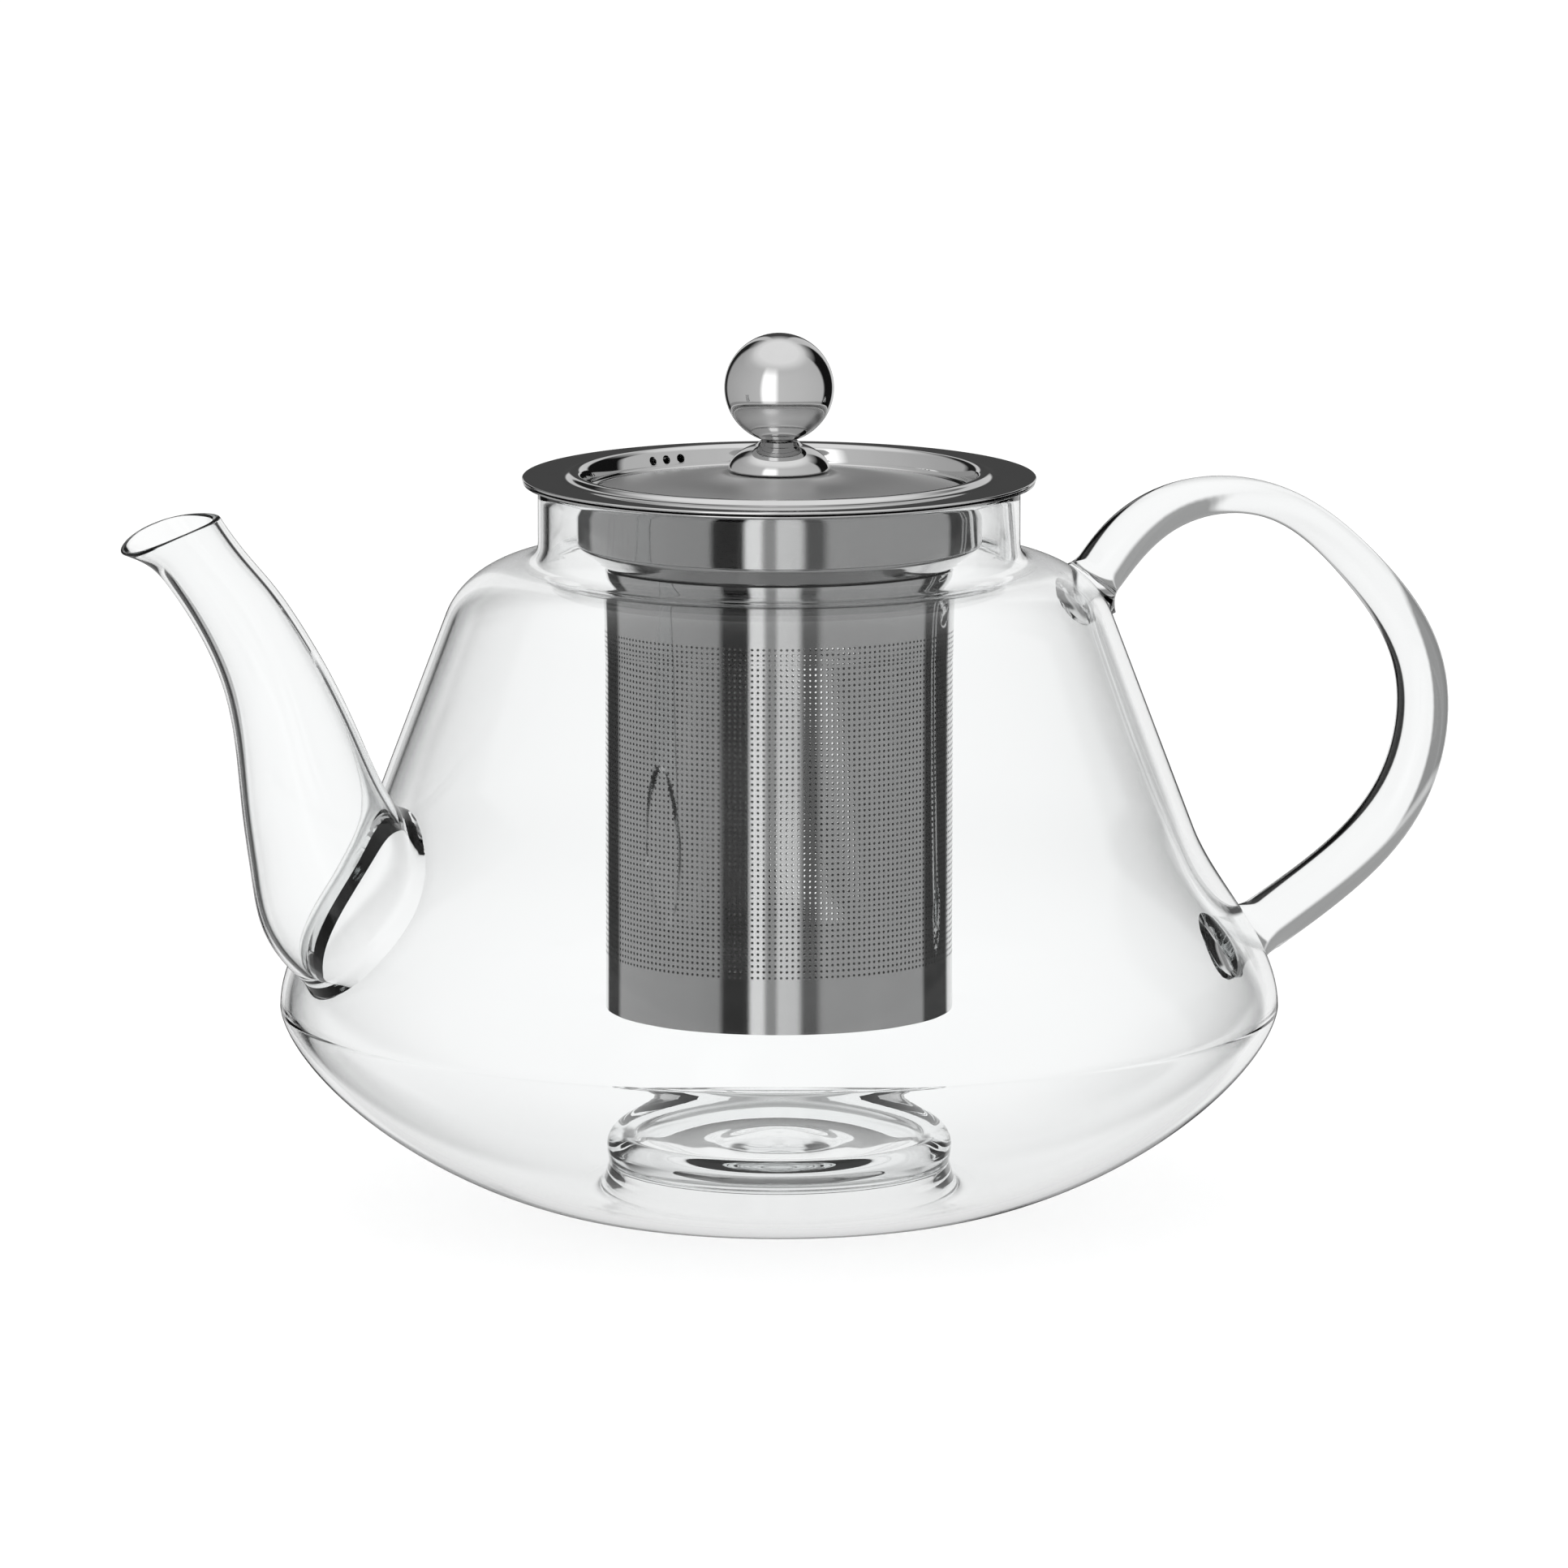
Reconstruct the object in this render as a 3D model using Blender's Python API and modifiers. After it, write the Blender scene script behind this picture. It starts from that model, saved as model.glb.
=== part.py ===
"""Glass teapot with a hanging steel infuser and a lift-off lid.

The vessel is lampworked glass: a flask-shaped body, a spout, a loop handle and the gobs and seam
that fuse them together. The infuser hangs in the neck by its flange, and the lid drops into the
infuser. Lengths are metres. The body's axis is vertical, the spout points to -X and the handle
to +X. Every outline is a list of (radius, height) points about the body's axis.
"""

import math

import bmesh
import bpy
import numpy as np

MM = 0.001

# Clearances and facets
GAP = 0.3 * MM  # between pieces that touch on the real object
TURN_STEPS = 48  # facets around a turned piece
SMALL_STEPS = 24  # facets around a small turned piece
FUSE_STEPS = 24  # facets around the spout
ROD_STEPS = 12  # facets around the handle

# Glass body
GLASS_WALL = 2.0 * MM
BELLY_R = 91.8 * MM
BELLY_Z = 37.0 * MM
BOWL_POWER = 1.5  # exponent of the superellipse between foot and belly
FOOT_OUTER_R = 36.5 * MM
FOOT_INNER_R = 32.4 * MM
CONE_BASE_R = 76.2 * MM
CONE_BASE_Z = 69.5 * MM
CONE_TOP_R = 61.1 * MM
CONE_TOP_Z = 109.4 * MM
SHOULDER_Z = 119.3 * MM
NECK_R = 44.2 * MM
NECK_TOP_Z = 133.4 * MM
RIM_ROUND = 0.7 * MM

# Punt: the plateau pushed up into the bottom of the body
PUNT_R = 31.9 * MM
PUNT_LIP_Z = 12.3 * MM
PUNT_LIP_ROUND = 3.0 * MM
PUNT_DISH_DROP = 2.8 * MM
PUNT_NUB_DROP = 1.4 * MM
PUNT_WALL = 2.1 * MM

# Spout. A row is (share, outer reach, outer rise, inner reach, inner rise, half width) in mm. The
# inner edge is measured from the crotch, where the spout leaves the body. The outer edge is
# measured from a point between the crotch and the seam's lowest point, share of the way down.
CROTCH_Z = 80.0 * MM
SEAM_LOW_Z = 45.5 * MM
SPOUT_ROWS = (
    (1.00, -5.7, -5.0, -6.4, -8.0, 17.4),
    (1.00, 3.8, 2.0, 1.6, -3.0, 17.2),
    (0.70, 15.0, -0.4, 5.2, 1.5, 16.0),
    (0.45, 21.7, 0.5, 7.8, 6.5, 14.3),
    (0.20, 27.9, 3.9, 11.3, 14.4, 12.6),
    (0.00, 32.8, 9.5, 15.2, 22.5, 10.8),
    (0.00, 35.1, 20.5, 19.6, 30.3, 9.2),
    (0.00, 39.3, 30.3, 25.6, 39.3, 8.0),
    (0.00, 45.4, 40.0, 31.9, 46.8, 7.7),
    (0.00, 49.2, 44.3, 34.8, 50.6, 7.9),
    (0.00, 55.2, 47.3, 36.9, 53.7, 8.8),
)
SPOUT_WALL = 1.5 * MM
SPOUT_OVERRUN = 2.0 * MM  # how far the bore's cutter passes each end
SEAM_H = 2.7 * MM  # how far the fused seam stands out from the body
SEAM_BULGE = 0.6 * MM  # how far it stands out all round the spout

# Handle. A row is (share, reach, rise, half thickness) in mm, measured from the point that lies
# share of the way down the straight line between the two joints.
UPPER_JOINT_Z = 110.6 * MM
LOWER_JOINT_Z = 43.2 * MM
HANDLE_ROWS = (
    (0.000, 3.2, 3.3, 4.8),
    (0.077, 5.9, 14.1, 4.6),
    (0.154, 11.5, 24.5, 4.1),
    (0.308, 28.1, 35.4, 3.3),
    (0.462, 41.4, 32.9, 3.8),
    (0.615, 49.2, 23.4, 4.5),
    (0.769, 41.0, 10.2, 4.9),
    (0.923, 17.2, 2.6, 5.1),
    (1.000, 6.2, 2.5, 5.3),
)
HANDLE_HALF_WIDTH = 6.0 * MM
HANDLE_END_WIDTH = 5.4 * MM
GOB_FLARE = 1.5  # size of a gob at the body against the handle's end

# Infuser
SHEET = 0.5 * MM
FLANGE_SHEET = 0.4 * MM
FLANGE_OVERHANG = 2.7 * MM
COLLAR_PLAY = 5.0 * MM
COLLAR_CORNER = 1.6 * MM
COLLAR_DROP = 10.9 * MM
COLLAR_STEP_DROP = 4.5 * MM
COLLAR_SKIRT = 4.0 * MM
BASKET_STEP = 5.35 * MM
BASKET_H = 81.3 * MM
BASKET_FLOOR_RIM = 3.0 * MM

# Lid
LID_OVERHANG = 0.2 * MM
LID_SHEET = 0.5 * MM
LID_PLAY = 0.4 * MM
LID_BEAD_REACH = 1.9 * MM
LID_BEAD_ROUND = 1.5 * MM
LID_BEAD_RISE = 1.0 * MM
LID_FLOOR_DROP = 2.8 * MM
LID_SEAT_R = 9.9 * MM
LID_SEAT_RISE = 0.9 * MM
VENT_D = 1.6 * MM
VENT_ANGLES = (99.0, 104.0, 109.0)

# Knob
KNOB_R = 10.05 * MM
KNOB_FOOT_R = 9.3 * MM
KNOB_FOOT_DOME = 5.3 * MM
KNOB_NECK_R = 3.8 * MM
KNOB_NECK_RISE = 5.4 * MM
SCREW_D = 4.0 * MM
SCREW_PLAY = 0.3 * MM
SCREW_HEAD_D = 8.0 * MM
SCREW_HEAD_H = 2.6 * MM
SCREW_SLOT_W = 1.0 * MM
SCREW_SLOT_DEPTH = 1.3 * MM
SCREW_REACH = 8.0 * MM
WASHER_D = 11.0 * MM
WASHER_T = 0.8 * MM

# Sizes that follow from those above
COLLAR_R = NECK_R - GLASS_WALL - COLLAR_PLAY
FLANGE_R = NECK_R + FLANGE_OVERHANG
FLANGE_Z = NECK_TOP_Z + GAP
FLANGE_TOP_Z = FLANGE_Z + FLANGE_SHEET
COLLAR_Z = FLANGE_Z - COLLAR_DROP
COLLAR_STEP_Z = COLLAR_Z - COLLAR_STEP_DROP
BASKET_R = COLLAR_R - BASKET_STEP
BASKET_TOP_Z = COLLAR_STEP_Z - GAP
BASKET_BOTTOM_Z = BASKET_TOP_Z - BASKET_H
SKIRT_R = BASKET_R - SHEET - GAP
LID_R = FLANGE_R + LID_OVERHANG
LID_Z = FLANGE_TOP_Z + GAP
LID_TOP_Z = LID_Z + LID_SHEET
LID_RECESS_R = COLLAR_R - SHEET - LID_PLAY - LID_SHEET
LID_BEAD_R = LID_RECESS_R + LID_BEAD_REACH
LID_FLOOR_Z = LID_TOP_Z - LID_FLOOR_DROP
LID_SEAT_Z = LID_TOP_Z + LID_SEAT_RISE
SCREW_BORE_R = SCREW_D / 2 + SCREW_PLAY
KNOB_FOOT_Z = LID_SEAT_Z + GAP
KNOB_FLAT_Z = KNOB_FOOT_Z + KNOB_NECK_RISE + GAP
KNOB_FLAT_R = KNOB_NECK_R - 0.4 * MM
KNOB_CENTRE_Z = KNOB_FLAT_Z + math.sqrt(KNOB_R**2 - KNOB_FLAT_R**2)
WASHER_TOP_Z = LID_SEAT_Z - LID_SHEET - GAP
SCREW_HEAD_Z = WASHER_TOP_Z - WASHER_T - GAP


# ------------------------------------------------------------------------------------- outlines


def bezier(p0, p1, p2, p3, count):
    """Points after p0 on a cubic curve that ends on p3."""
    points = []
    for i in range(1, count + 1):
        t = i / count
        s = 1 - t
        weights = (s**3, 3 * s * s * t, 3 * s * t * t, t**3)
        x = sum(w * p[0] for w, p in zip(weights, (p0, p1, p2, p3)))
        z = sum(w * p[1] for w, p in zip(weights, (p0, p1, p2, p3)))
        points.append((x, z))
    return points


def arc(centre, radius, start, end, count):
    """Points of an arc, with its angles in degrees."""
    points = []
    for i in range(count + 1):
        angle = math.radians(start + (end - start) * i / count)
        x = centre[0] + radius * math.cos(angle)
        z = centre[1] + radius * math.sin(angle)
        points.append((x, z))
    return points


def bends(rows, knots):
    """Second derivatives at the knots of a natural cubic curve through rows of numbers."""
    count = len(rows)
    system = np.eye(count)
    right = np.zeros((count, rows.shape[1]))
    for i in range(1, count - 1):
        before = knots[i] - knots[i - 1]
        after = knots[i + 1] - knots[i]
        system[i, i - 1 : i + 2] = (before, 2 * (before + after), after)
        right[i] = 6 * ((rows[i + 1] - rows[i]) / after - (rows[i] - rows[i - 1]) / before)
    return np.linalg.solve(system, right)


def spline(rows, fine):
    """Rows of numbers joined by a natural cubic curve, with fine steps from each row to the next.
    The curve's own length runs along the first two columns."""
    rows = np.array(rows)
    steps = np.hypot(np.diff(rows[:, 0]), np.diff(rows[:, 1]))
    knots = np.concatenate(([0.0], np.cumsum(steps)))
    second = bends(rows, knots)
    out = []
    for i, step in enumerate(steps):
        for k in range(fine):
            t = k / fine
            s = 1 - t
            bend = (s**3 - s) * second[i] + (t**3 - t) * second[i + 1]
            out.append(tuple(s * rows[i] + t * rows[i + 1] + bend * step**2 / 6))
    out.append(tuple(rows[-1]))
    return out


def offset(points, distance):
    """An open outline moved by distance to the left of the way it runs."""
    moved = []
    last = len(points) - 1
    for i, (x, z) in enumerate(points):
        before = points[max(i - 1, 0)]
        after = points[min(i + 1, last)]
        dx = after[0] - before[0]
        dz = after[1] - before[1]
        length = math.hypot(dx, dz)
        moved.append((x - dz / length * distance, z + dx / length * distance))
    return moved


def between(a, b, share):
    return a + (b - a) * share


# ---------------------------------------------------------------------------------- body outline


def bowl_outline(count=7):
    """The bowl from the foot's outer edge to the belly."""
    points = [(FOOT_OUTER_R, 0.0)]
    for i in range(1, count):
        angle = math.pi / 2 * i / count
        out = math.sin(angle) ** (2 / BOWL_POWER)
        up = 1 - math.cos(angle) ** (2 / BOWL_POWER)
        points.append((between(FOOT_OUTER_R, BELLY_R, out), BELLY_Z * up))
    points.append((BELLY_R, BELLY_Z))
    return points


def flank_outline():
    """From the belly up the cone to its top, after the belly's own point."""
    slope = (CONE_BASE_R - CONE_TOP_R) / (CONE_TOP_Z - CONE_BASE_Z)
    pull = (CONE_BASE_Z - BELLY_Z) * 0.35
    start = (BELLY_R, BELLY_Z)
    end = (CONE_BASE_R, CONE_BASE_Z)
    points = bezier(start, (BELLY_R, BELLY_Z + pull), (end[0] + slope * pull, end[1] - pull), end, 5)
    points.append((between(CONE_BASE_R, CONE_TOP_R, 0.5), between(CONE_BASE_Z, CONE_TOP_Z, 0.5)))
    points.append((CONE_TOP_R, CONE_TOP_Z))
    return points


def shoulder_outline():
    """From the cone's top over the shoulder to the neck, after the cone's own point."""
    slope = (CONE_BASE_R - CONE_TOP_R) / (CONE_TOP_Z - CONE_BASE_Z)
    rise = SHOULDER_Z - CONE_TOP_Z
    inner = between(NECK_R, CONE_TOP_R, 0.215)
    start = (CONE_TOP_R, CONE_TOP_Z)
    end = (inner, SHOULDER_Z)
    first = (CONE_TOP_R - slope * rise * 0.5, CONE_TOP_Z + rise * 0.5)
    second = (between(NECK_R, CONE_TOP_R, 0.58), SHOULDER_Z - rise * 0.09)
    points = bezier(start, first, second, end, 5)
    base = (NECK_R, SHOULDER_Z + rise * 0.36)
    corner = (between(NECK_R, inner, 0.35), SHOULDER_Z + rise * 0.02)
    points += bezier(end, corner, (NECK_R, SHOULDER_Z + rise * 0.12), base, 3)
    return points


def body_outline():
    """The outside of the body from the foot's outer edge up to the neck's top edge."""
    points = bowl_outline() + flank_outline() + shoulder_outline()
    points.append((NECK_R, NECK_TOP_Z - RIM_ROUND))
    return points


def body_radius(z):
    """The body's outer radius at a height above the belly."""
    points = bowl_outline()[-1:] + flank_outline() + shoulder_outline()
    for low, high in zip(points, points[1:]):
        if low[1] <= z <= high[1]:
            return between(low[0], high[0], (z - low[1]) / (high[1] - low[1]))
    return NECK_R if z > points[-1][1] else BELLY_R


def punt_top():
    """The top of the plateau from the axis to its foot inside the bowl."""
    dish = PUNT_LIP_Z - PUNT_DISH_DROP
    lip_r = PUNT_R - PUNT_LIP_ROUND
    points = [(0.0, PUNT_LIP_Z - PUNT_NUB_DROP)]
    points.append((PUNT_R * 0.17, PUNT_LIP_Z - PUNT_NUB_DROP - 0.2 * MM))
    points.append((PUNT_R * 0.30, dish + 0.3 * MM))
    points.append((PUNT_R * 0.46, dish))
    points.append((PUNT_R * 0.64, dish + 0.4 * MM))
    points.append((PUNT_R * 0.78, PUNT_LIP_Z - 0.9 * MM))
    points += arc((lip_r, PUNT_LIP_Z - PUNT_LIP_ROUND), PUNT_LIP_ROUND, 100, 0, 4)
    points.append((PUNT_R - 0.4 * MM, between(PUNT_LIP_Z, 0.0, 0.55)))
    points.append((PUNT_R + 0.6 * MM, GLASS_WALL + 1.0 * MM))
    return points


def punt_underside():
    """The hollow under the plateau, from the foot's inner edge to the axis."""
    wall = PUNT_R - PUNT_WALL
    roof = PUNT_LIP_Z - PUNT_DISH_DROP - PUNT_WALL
    points = [(FOOT_INNER_R, 0.0), (FOOT_INNER_R - 1.5 * MM, 0.8 * MM)]
    points.append((wall, between(0.0, PUNT_LIP_Z, 0.25)))
    points.append((wall - 0.4 * MM, PUNT_LIP_Z - PUNT_WALL - 2.6 * MM))
    points.append((wall - 2.2 * MM, PUNT_LIP_Z - PUNT_WALL - 1.2 * MM))
    points.append((PUNT_R * 0.77, PUNT_LIP_Z - PUNT_WALL - 1.4 * MM))
    points.append((PUNT_R * 0.62, roof + 0.2 * MM))
    points.append((PUNT_R * 0.36, roof))
    points.append((0.0, roof + 0.9 * MM))
    return points


def body_section():
    """The whole section of the body, from the axis on the plateau out, over the rim and back."""
    outside = body_outline()
    inside = [p for p in offset(outside, GLASS_WALL) if p[0] > PUNT_R + 2 * MM]
    rim = [(NECK_R - GLASS_WALL + RIM_ROUND, NECK_TOP_Z), (NECK_R - RIM_ROUND, NECK_TOP_Z)]
    return punt_top() + inside + rim + list(reversed(outside)) + punt_underside()


# ---------------------------------------------------------------------------- scene and meshes


def clear_scene():
    for obj in list(bpy.data.objects):
        bpy.data.objects.remove(obj)


def make_collection(name):
    collection = bpy.data.collections.new(name)
    bpy.context.scene.collection.children.link(collection)
    return collection


def make_empty(name, collection, location, parent=None):
    empty = bpy.data.objects.new(name, None)
    empty.location = location
    empty.parent = parent
    empty.empty_display_size = 0.02
    collection.objects.link(empty)
    return empty


def make_material(name, colour, roughness, metallic, transmission=0.0, ior=1.5):
    material = bpy.data.materials.new(name)
    material.use_nodes = True
    shader = material.node_tree.nodes["Principled BSDF"]
    shader.inputs["Base Color"].default_value = (*colour, 1.0)
    shader.inputs["Roughness"].default_value = roughness
    shader.inputs["Metallic"].default_value = metallic
    shader.inputs["Transmission Weight"].default_value = transmission
    shader.inputs["IOR"].default_value = ior
    material.diffuse_color = (*colour, 1.0)
    material.roughness = roughness
    material.metallic = metallic
    return material


def add_mesh(name, verts, edges, faces, material, collection):
    mesh = bpy.data.meshes.new(name)
    mesh.from_pydata(verts, edges, faces)
    mesh.update()
    if material:
        mesh.materials.append(material)
    obj = bpy.data.objects.new(name, mesh)
    collection.objects.link(obj)
    return obj


def outward_normals(obj):
    mesh = bmesh.new()
    mesh.from_mesh(obj.data)
    bmesh.ops.recalc_face_normals(mesh, faces=mesh.faces)
    mesh.to_mesh(obj.data)
    mesh.free()


def turned(name, outline, material, collection, steps=TURN_STEPS):
    """A solid turned about Z. Its outline runs down the outer side, and closes unless it starts
    and ends on the axis."""
    verts = [(x, 0.0, z) for x, z in outline]
    edges = [(i, i + 1) for i in range(len(verts) - 1)]
    if outline[0][0] > 0:
        edges.append((len(verts) - 1, 0))
    obj = add_mesh(name, verts, edges, [], material, collection)
    screw = obj.modifiers.new("turn", "SCREW")
    screw.axis = "Z"
    screw.angle = math.tau
    screw.steps = steps
    screw.render_steps = steps
    screw.use_merge_vertices = True
    screw.merge_threshold = 0.00001
    return obj


def loft(name, rings, material, collection):
    """A solid through rings of points, capped at its ends."""
    count = len(rings[0])
    verts = [point for ring in rings for point in ring]
    faces = []
    for i in range(len(rings) - 1):
        low = i * count
        high = low + count
        for k in range(count):
            n = (k + 1) % count
            faces.append((low + k, low + n, high + n, high + k))
    faces.append(tuple(reversed(range(count))))
    faces.append(tuple(range(len(verts) - count, len(verts))))
    obj = add_mesh(name, verts, [], faces, material, collection)
    outward_normals(obj)
    return obj


def oval(centre, along, half_along, half_across, steps):
    """A ring of points around centre: along is a direction in the XZ plane, across is Y."""
    ring = []
    for k in range(steps):
        angle = math.tau * k / steps
        a = math.cos(angle) * half_along
        b = math.sin(angle) * half_across
        ring.append((centre[0] + along[0] * a, b, centre[1] + along[1] * a))
    return ring


def cut(obj, cutter, operation="DIFFERENCE"):
    boolean = obj.modifiers.new("cut_" + cutter.name, "BOOLEAN")
    boolean.operation = operation
    boolean.solver = "EXACT"
    boolean.object = cutter


def hang(objects, parent, height=0.0):
    """Parents pieces made about the body's axis to an empty at some height on it."""
    for obj in objects:
        obj.parent = parent
        obj.location.z -= height


# ---------------------------------------------------------------------------------------- spout


def spout_rows():
    """Smooth rows of (outer x, outer z, inner x, inner z, half width), with x towards the spout."""
    crotch_r = body_radius(CROTCH_Z)
    low_r = body_radius(SEAM_LOW_Z)
    rows = []
    for share, out_x, out_z, in_x, in_z, half in SPOUT_ROWS:
        x = between(crotch_r, low_r, share) + out_x * MM
        z = between(CROTCH_Z, SEAM_LOW_Z, share) + out_z * MM
        rows.append((x, z, crotch_r + in_x * MM, CROTCH_Z + in_z * MM, half * MM))
    return spline(rows, 2)


def spout_ring(row, grow, steps=FUSE_STEPS):
    """The section of the spout at a row, grown by an amount all round."""
    out_x, out_z, in_x, in_z, half = row
    reach = math.hypot(out_x - in_x, out_z - in_z)
    along = ((in_x - out_x) / reach, (out_z - in_z) / reach)
    centre = (-(out_x + in_x) / 2, (out_z + in_z) / 2)
    return oval(centre, along, reach / 2 + grow, half + grow, steps)


def beyond(ring, next_ring, distance):
    """A ring carried on past the end of a loft, away from next_ring."""
    centre = [sum(p[i] for p in ring) / len(ring) for i in range(3)]
    towards = [sum(p[i] for p in next_ring) / len(ring) for i in range(3)]
    step = [a - b for a, b in zip(centre, towards)]
    length = math.sqrt(sum(s * s for s in step))
    move = [s / length * distance for s in step]
    return [tuple(p[i] + move[i] for i in range(3)) for p in ring]


def spout_loft(name, grow, overrun, material, collection):
    rings = [spout_ring(row, grow) for row in spout_rows()]
    if overrun:
        first = beyond(rings[0], rings[1], overrun)
        last = beyond(rings[-1], rings[-2], overrun)
        rings = [first] + rings + [last]
    return loft(name, rings, material, collection)


# --------------------------------------------------------------------------------------- handle


def handle_rows():
    """Smooth rows of (x, z, half thickness, half width) from the upper joint to the lower one."""
    upper = (body_radius(UPPER_JOINT_Z), UPPER_JOINT_Z)
    lower = (body_radius(LOWER_JOINT_Z), LOWER_JOINT_Z)
    rows = []
    for i, (share, reach, rise, half) in enumerate(HANDLE_ROWS):
        x = between(upper[0], lower[0], share) + reach * MM
        z = between(upper[1], lower[1], share) + rise * MM
        end = i in (0, len(HANDLE_ROWS) - 1)
        rows.append((x, z, half * MM, HANDLE_END_WIDTH if end else HANDLE_HALF_WIDTH))
    return spline(rows, 4)


def rod_ring(centre, heading, half, width):
    """A ring across a rod that heads along a direction in the XZ plane."""
    length = math.hypot(*heading)
    along = (-heading[1] / length, heading[0] / length)
    return oval(centre, along, half, width, ROD_STEPS)


def handle_rings():
    rows = handle_rows()
    last = len(rows) - 1
    rings = []
    for i, (x, z, half, width) in enumerate(rows):
        before = rows[max(i - 1, 0)]
        after = rows[min(i + 1, last)]
        rings.append(rod_ring((x, z), (after[0] - before[0], after[1] - before[1]), half, width))
    return rings


def gob_rings(end, second, joint_z):
    """Rings from just past a handle's end to inside the body, flaring on the way."""
    x, z, half, width = end
    heading = (x - second[0], z - second[1])
    length = math.hypot(*heading)
    heading = (heading[0] / length, heading[1] / length)
    start = (x + heading[0] * GAP, z + heading[1] * GAP)
    joint = (body_radius(joint_z), joint_z)
    inside = (joint[0] - 2 * GLASS_WALL, joint[1] + (joint[1] - z) * 0.4)
    rings = [rod_ring(start, heading, half, width)]
    for share, flare in ((0.35, 1.06), (0.7, 1.2), (1.0, GOB_FLARE)):
        centre = (between(start[0], joint[0], share), between(start[1], joint[1], share))
        rings.append(rod_ring(centre, heading, half * flare, width * flare))
    rings.append(rod_ring(inside, heading, half * GOB_FLARE, width * GOB_FLARE))
    return rings


# --------------------------------------------------------------------------------------- vessel


def filled_body(name, grow, collection):
    """The space inside the body's outer surface, grown by an amount all round."""
    outside = list(reversed(offset(body_outline(), -grow)))
    outline = [(0.0, NECK_TOP_Z + grow)] + outside + [(0.0, -grow)]
    return turned(name, outline, None, collection)


def build_spout(glass, collection, cutters, bore, body_space):
    """The spout, and the ring of fused glass between it and the body."""
    seam_space = filled_body("seam_space", SEAM_H, cutters)
    root_space = filled_body("root_space", SEAM_H + GAP, cutters)
    spout = spout_loft("glass_spout", 0.0, 0.0, glass, collection)
    cut(spout, bore)
    cut(spout, root_space)
    seam = spout_loft("spout_seam", SEAM_BULGE, 0.0, glass, collection)
    cut(seam, seam_space, "INTERSECT")
    cut(seam, bore)
    cut(seam, body_space)
    return [spout, seam]


def build_handle(glass, collection, body_space):
    """The handle, and the gobs of glass that fuse its ends to the body."""
    rows = handle_rows()
    handle = loft("glass_handle", handle_rings(), glass, collection)
    upper = loft("handle_upper_gob", gob_rings(rows[0], rows[1], UPPER_JOINT_Z), glass, collection)
    lower = loft("handle_lower_gob", gob_rings(rows[-1], rows[-2], LOWER_JOINT_Z), glass, collection)
    cut(upper, body_space)
    cut(lower, body_space)
    return [handle, upper, lower]


def build_vessel(glass, collection, cutters):
    body_space = filled_body("body_space", GAP, cutters)
    bore = spout_loft("spout_bore", -SPOUT_WALL, SPOUT_OVERRUN, None, cutters)
    body = turned("glass_body", body_section(), glass, collection)
    cut(body, bore)
    pieces = [body] + build_spout(glass, collection, cutters, bore, body_space)
    return pieces + build_handle(glass, collection, body_space)


# -------------------------------------------------------------------------------------- infuser


def collar_outline():
    """The flange, the collar under it and the step down to the basket, in one pressed sheet."""
    inner_round = COLLAR_CORNER + SHEET
    outline = [(FLANGE_R, FLANGE_TOP_Z), (FLANGE_R, FLANGE_Z)]
    outline += arc((COLLAR_R + COLLAR_CORNER, FLANGE_Z - COLLAR_CORNER), COLLAR_CORNER, 90, 180, 3)
    outline += [(COLLAR_R, COLLAR_Z), (SKIRT_R, COLLAR_STEP_Z), (SKIRT_R, COLLAR_STEP_Z - COLLAR_SKIRT)]
    inner = SKIRT_R - SHEET
    outline += [(inner, COLLAR_STEP_Z - COLLAR_SKIRT), (inner, COLLAR_STEP_Z + SHEET * 0.3)]
    outline.append((COLLAR_R - SHEET, COLLAR_Z + SHEET * 0.3))
    centre = (COLLAR_R - SHEET + inner_round, FLANGE_TOP_Z - inner_round)
    outline += arc(centre, inner_round, 180, 90, 3)
    return outline


def basket_outline():
    inner = BASKET_R - SHEET
    outline = [(BASKET_R, BASKET_TOP_Z), (BASKET_R, BASKET_BOTTOM_Z)]
    outline += [(inner, BASKET_BOTTOM_Z), (inner, BASKET_TOP_Z)]
    return outline


def basket_floor_outline():
    """A shallow cup that closes the basket, from its rim in to the axis and back."""
    outer = BASKET_R - SHEET - GAP
    top = BASKET_BOTTOM_Z + BASKET_FLOOR_RIM
    outline = [(0.0, BASKET_BOTTOM_Z + SHEET), (outer - 1.5 * SHEET, BASKET_BOTTOM_Z + SHEET)]
    outline += [(outer - SHEET, BASKET_BOTTOM_Z + 1.5 * SHEET), (outer - SHEET, top), (outer, top)]
    outline += [(outer, BASKET_BOTTOM_Z + SHEET), (outer - SHEET, BASKET_BOTTOM_Z)]
    outline.append((0.0, BASKET_BOTTOM_Z))
    return outline


def build_infuser(steel, collection):
    collar = turned("infuser_collar", collar_outline(), steel, collection)
    wall = turned("infuser_basket_wall", basket_outline(), steel, collection)
    floor = turned("infuser_basket_floor", basket_floor_outline(), steel, collection)
    return [collar, wall, floor]


# ------------------------------------------------------------------------------------------ lid


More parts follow.
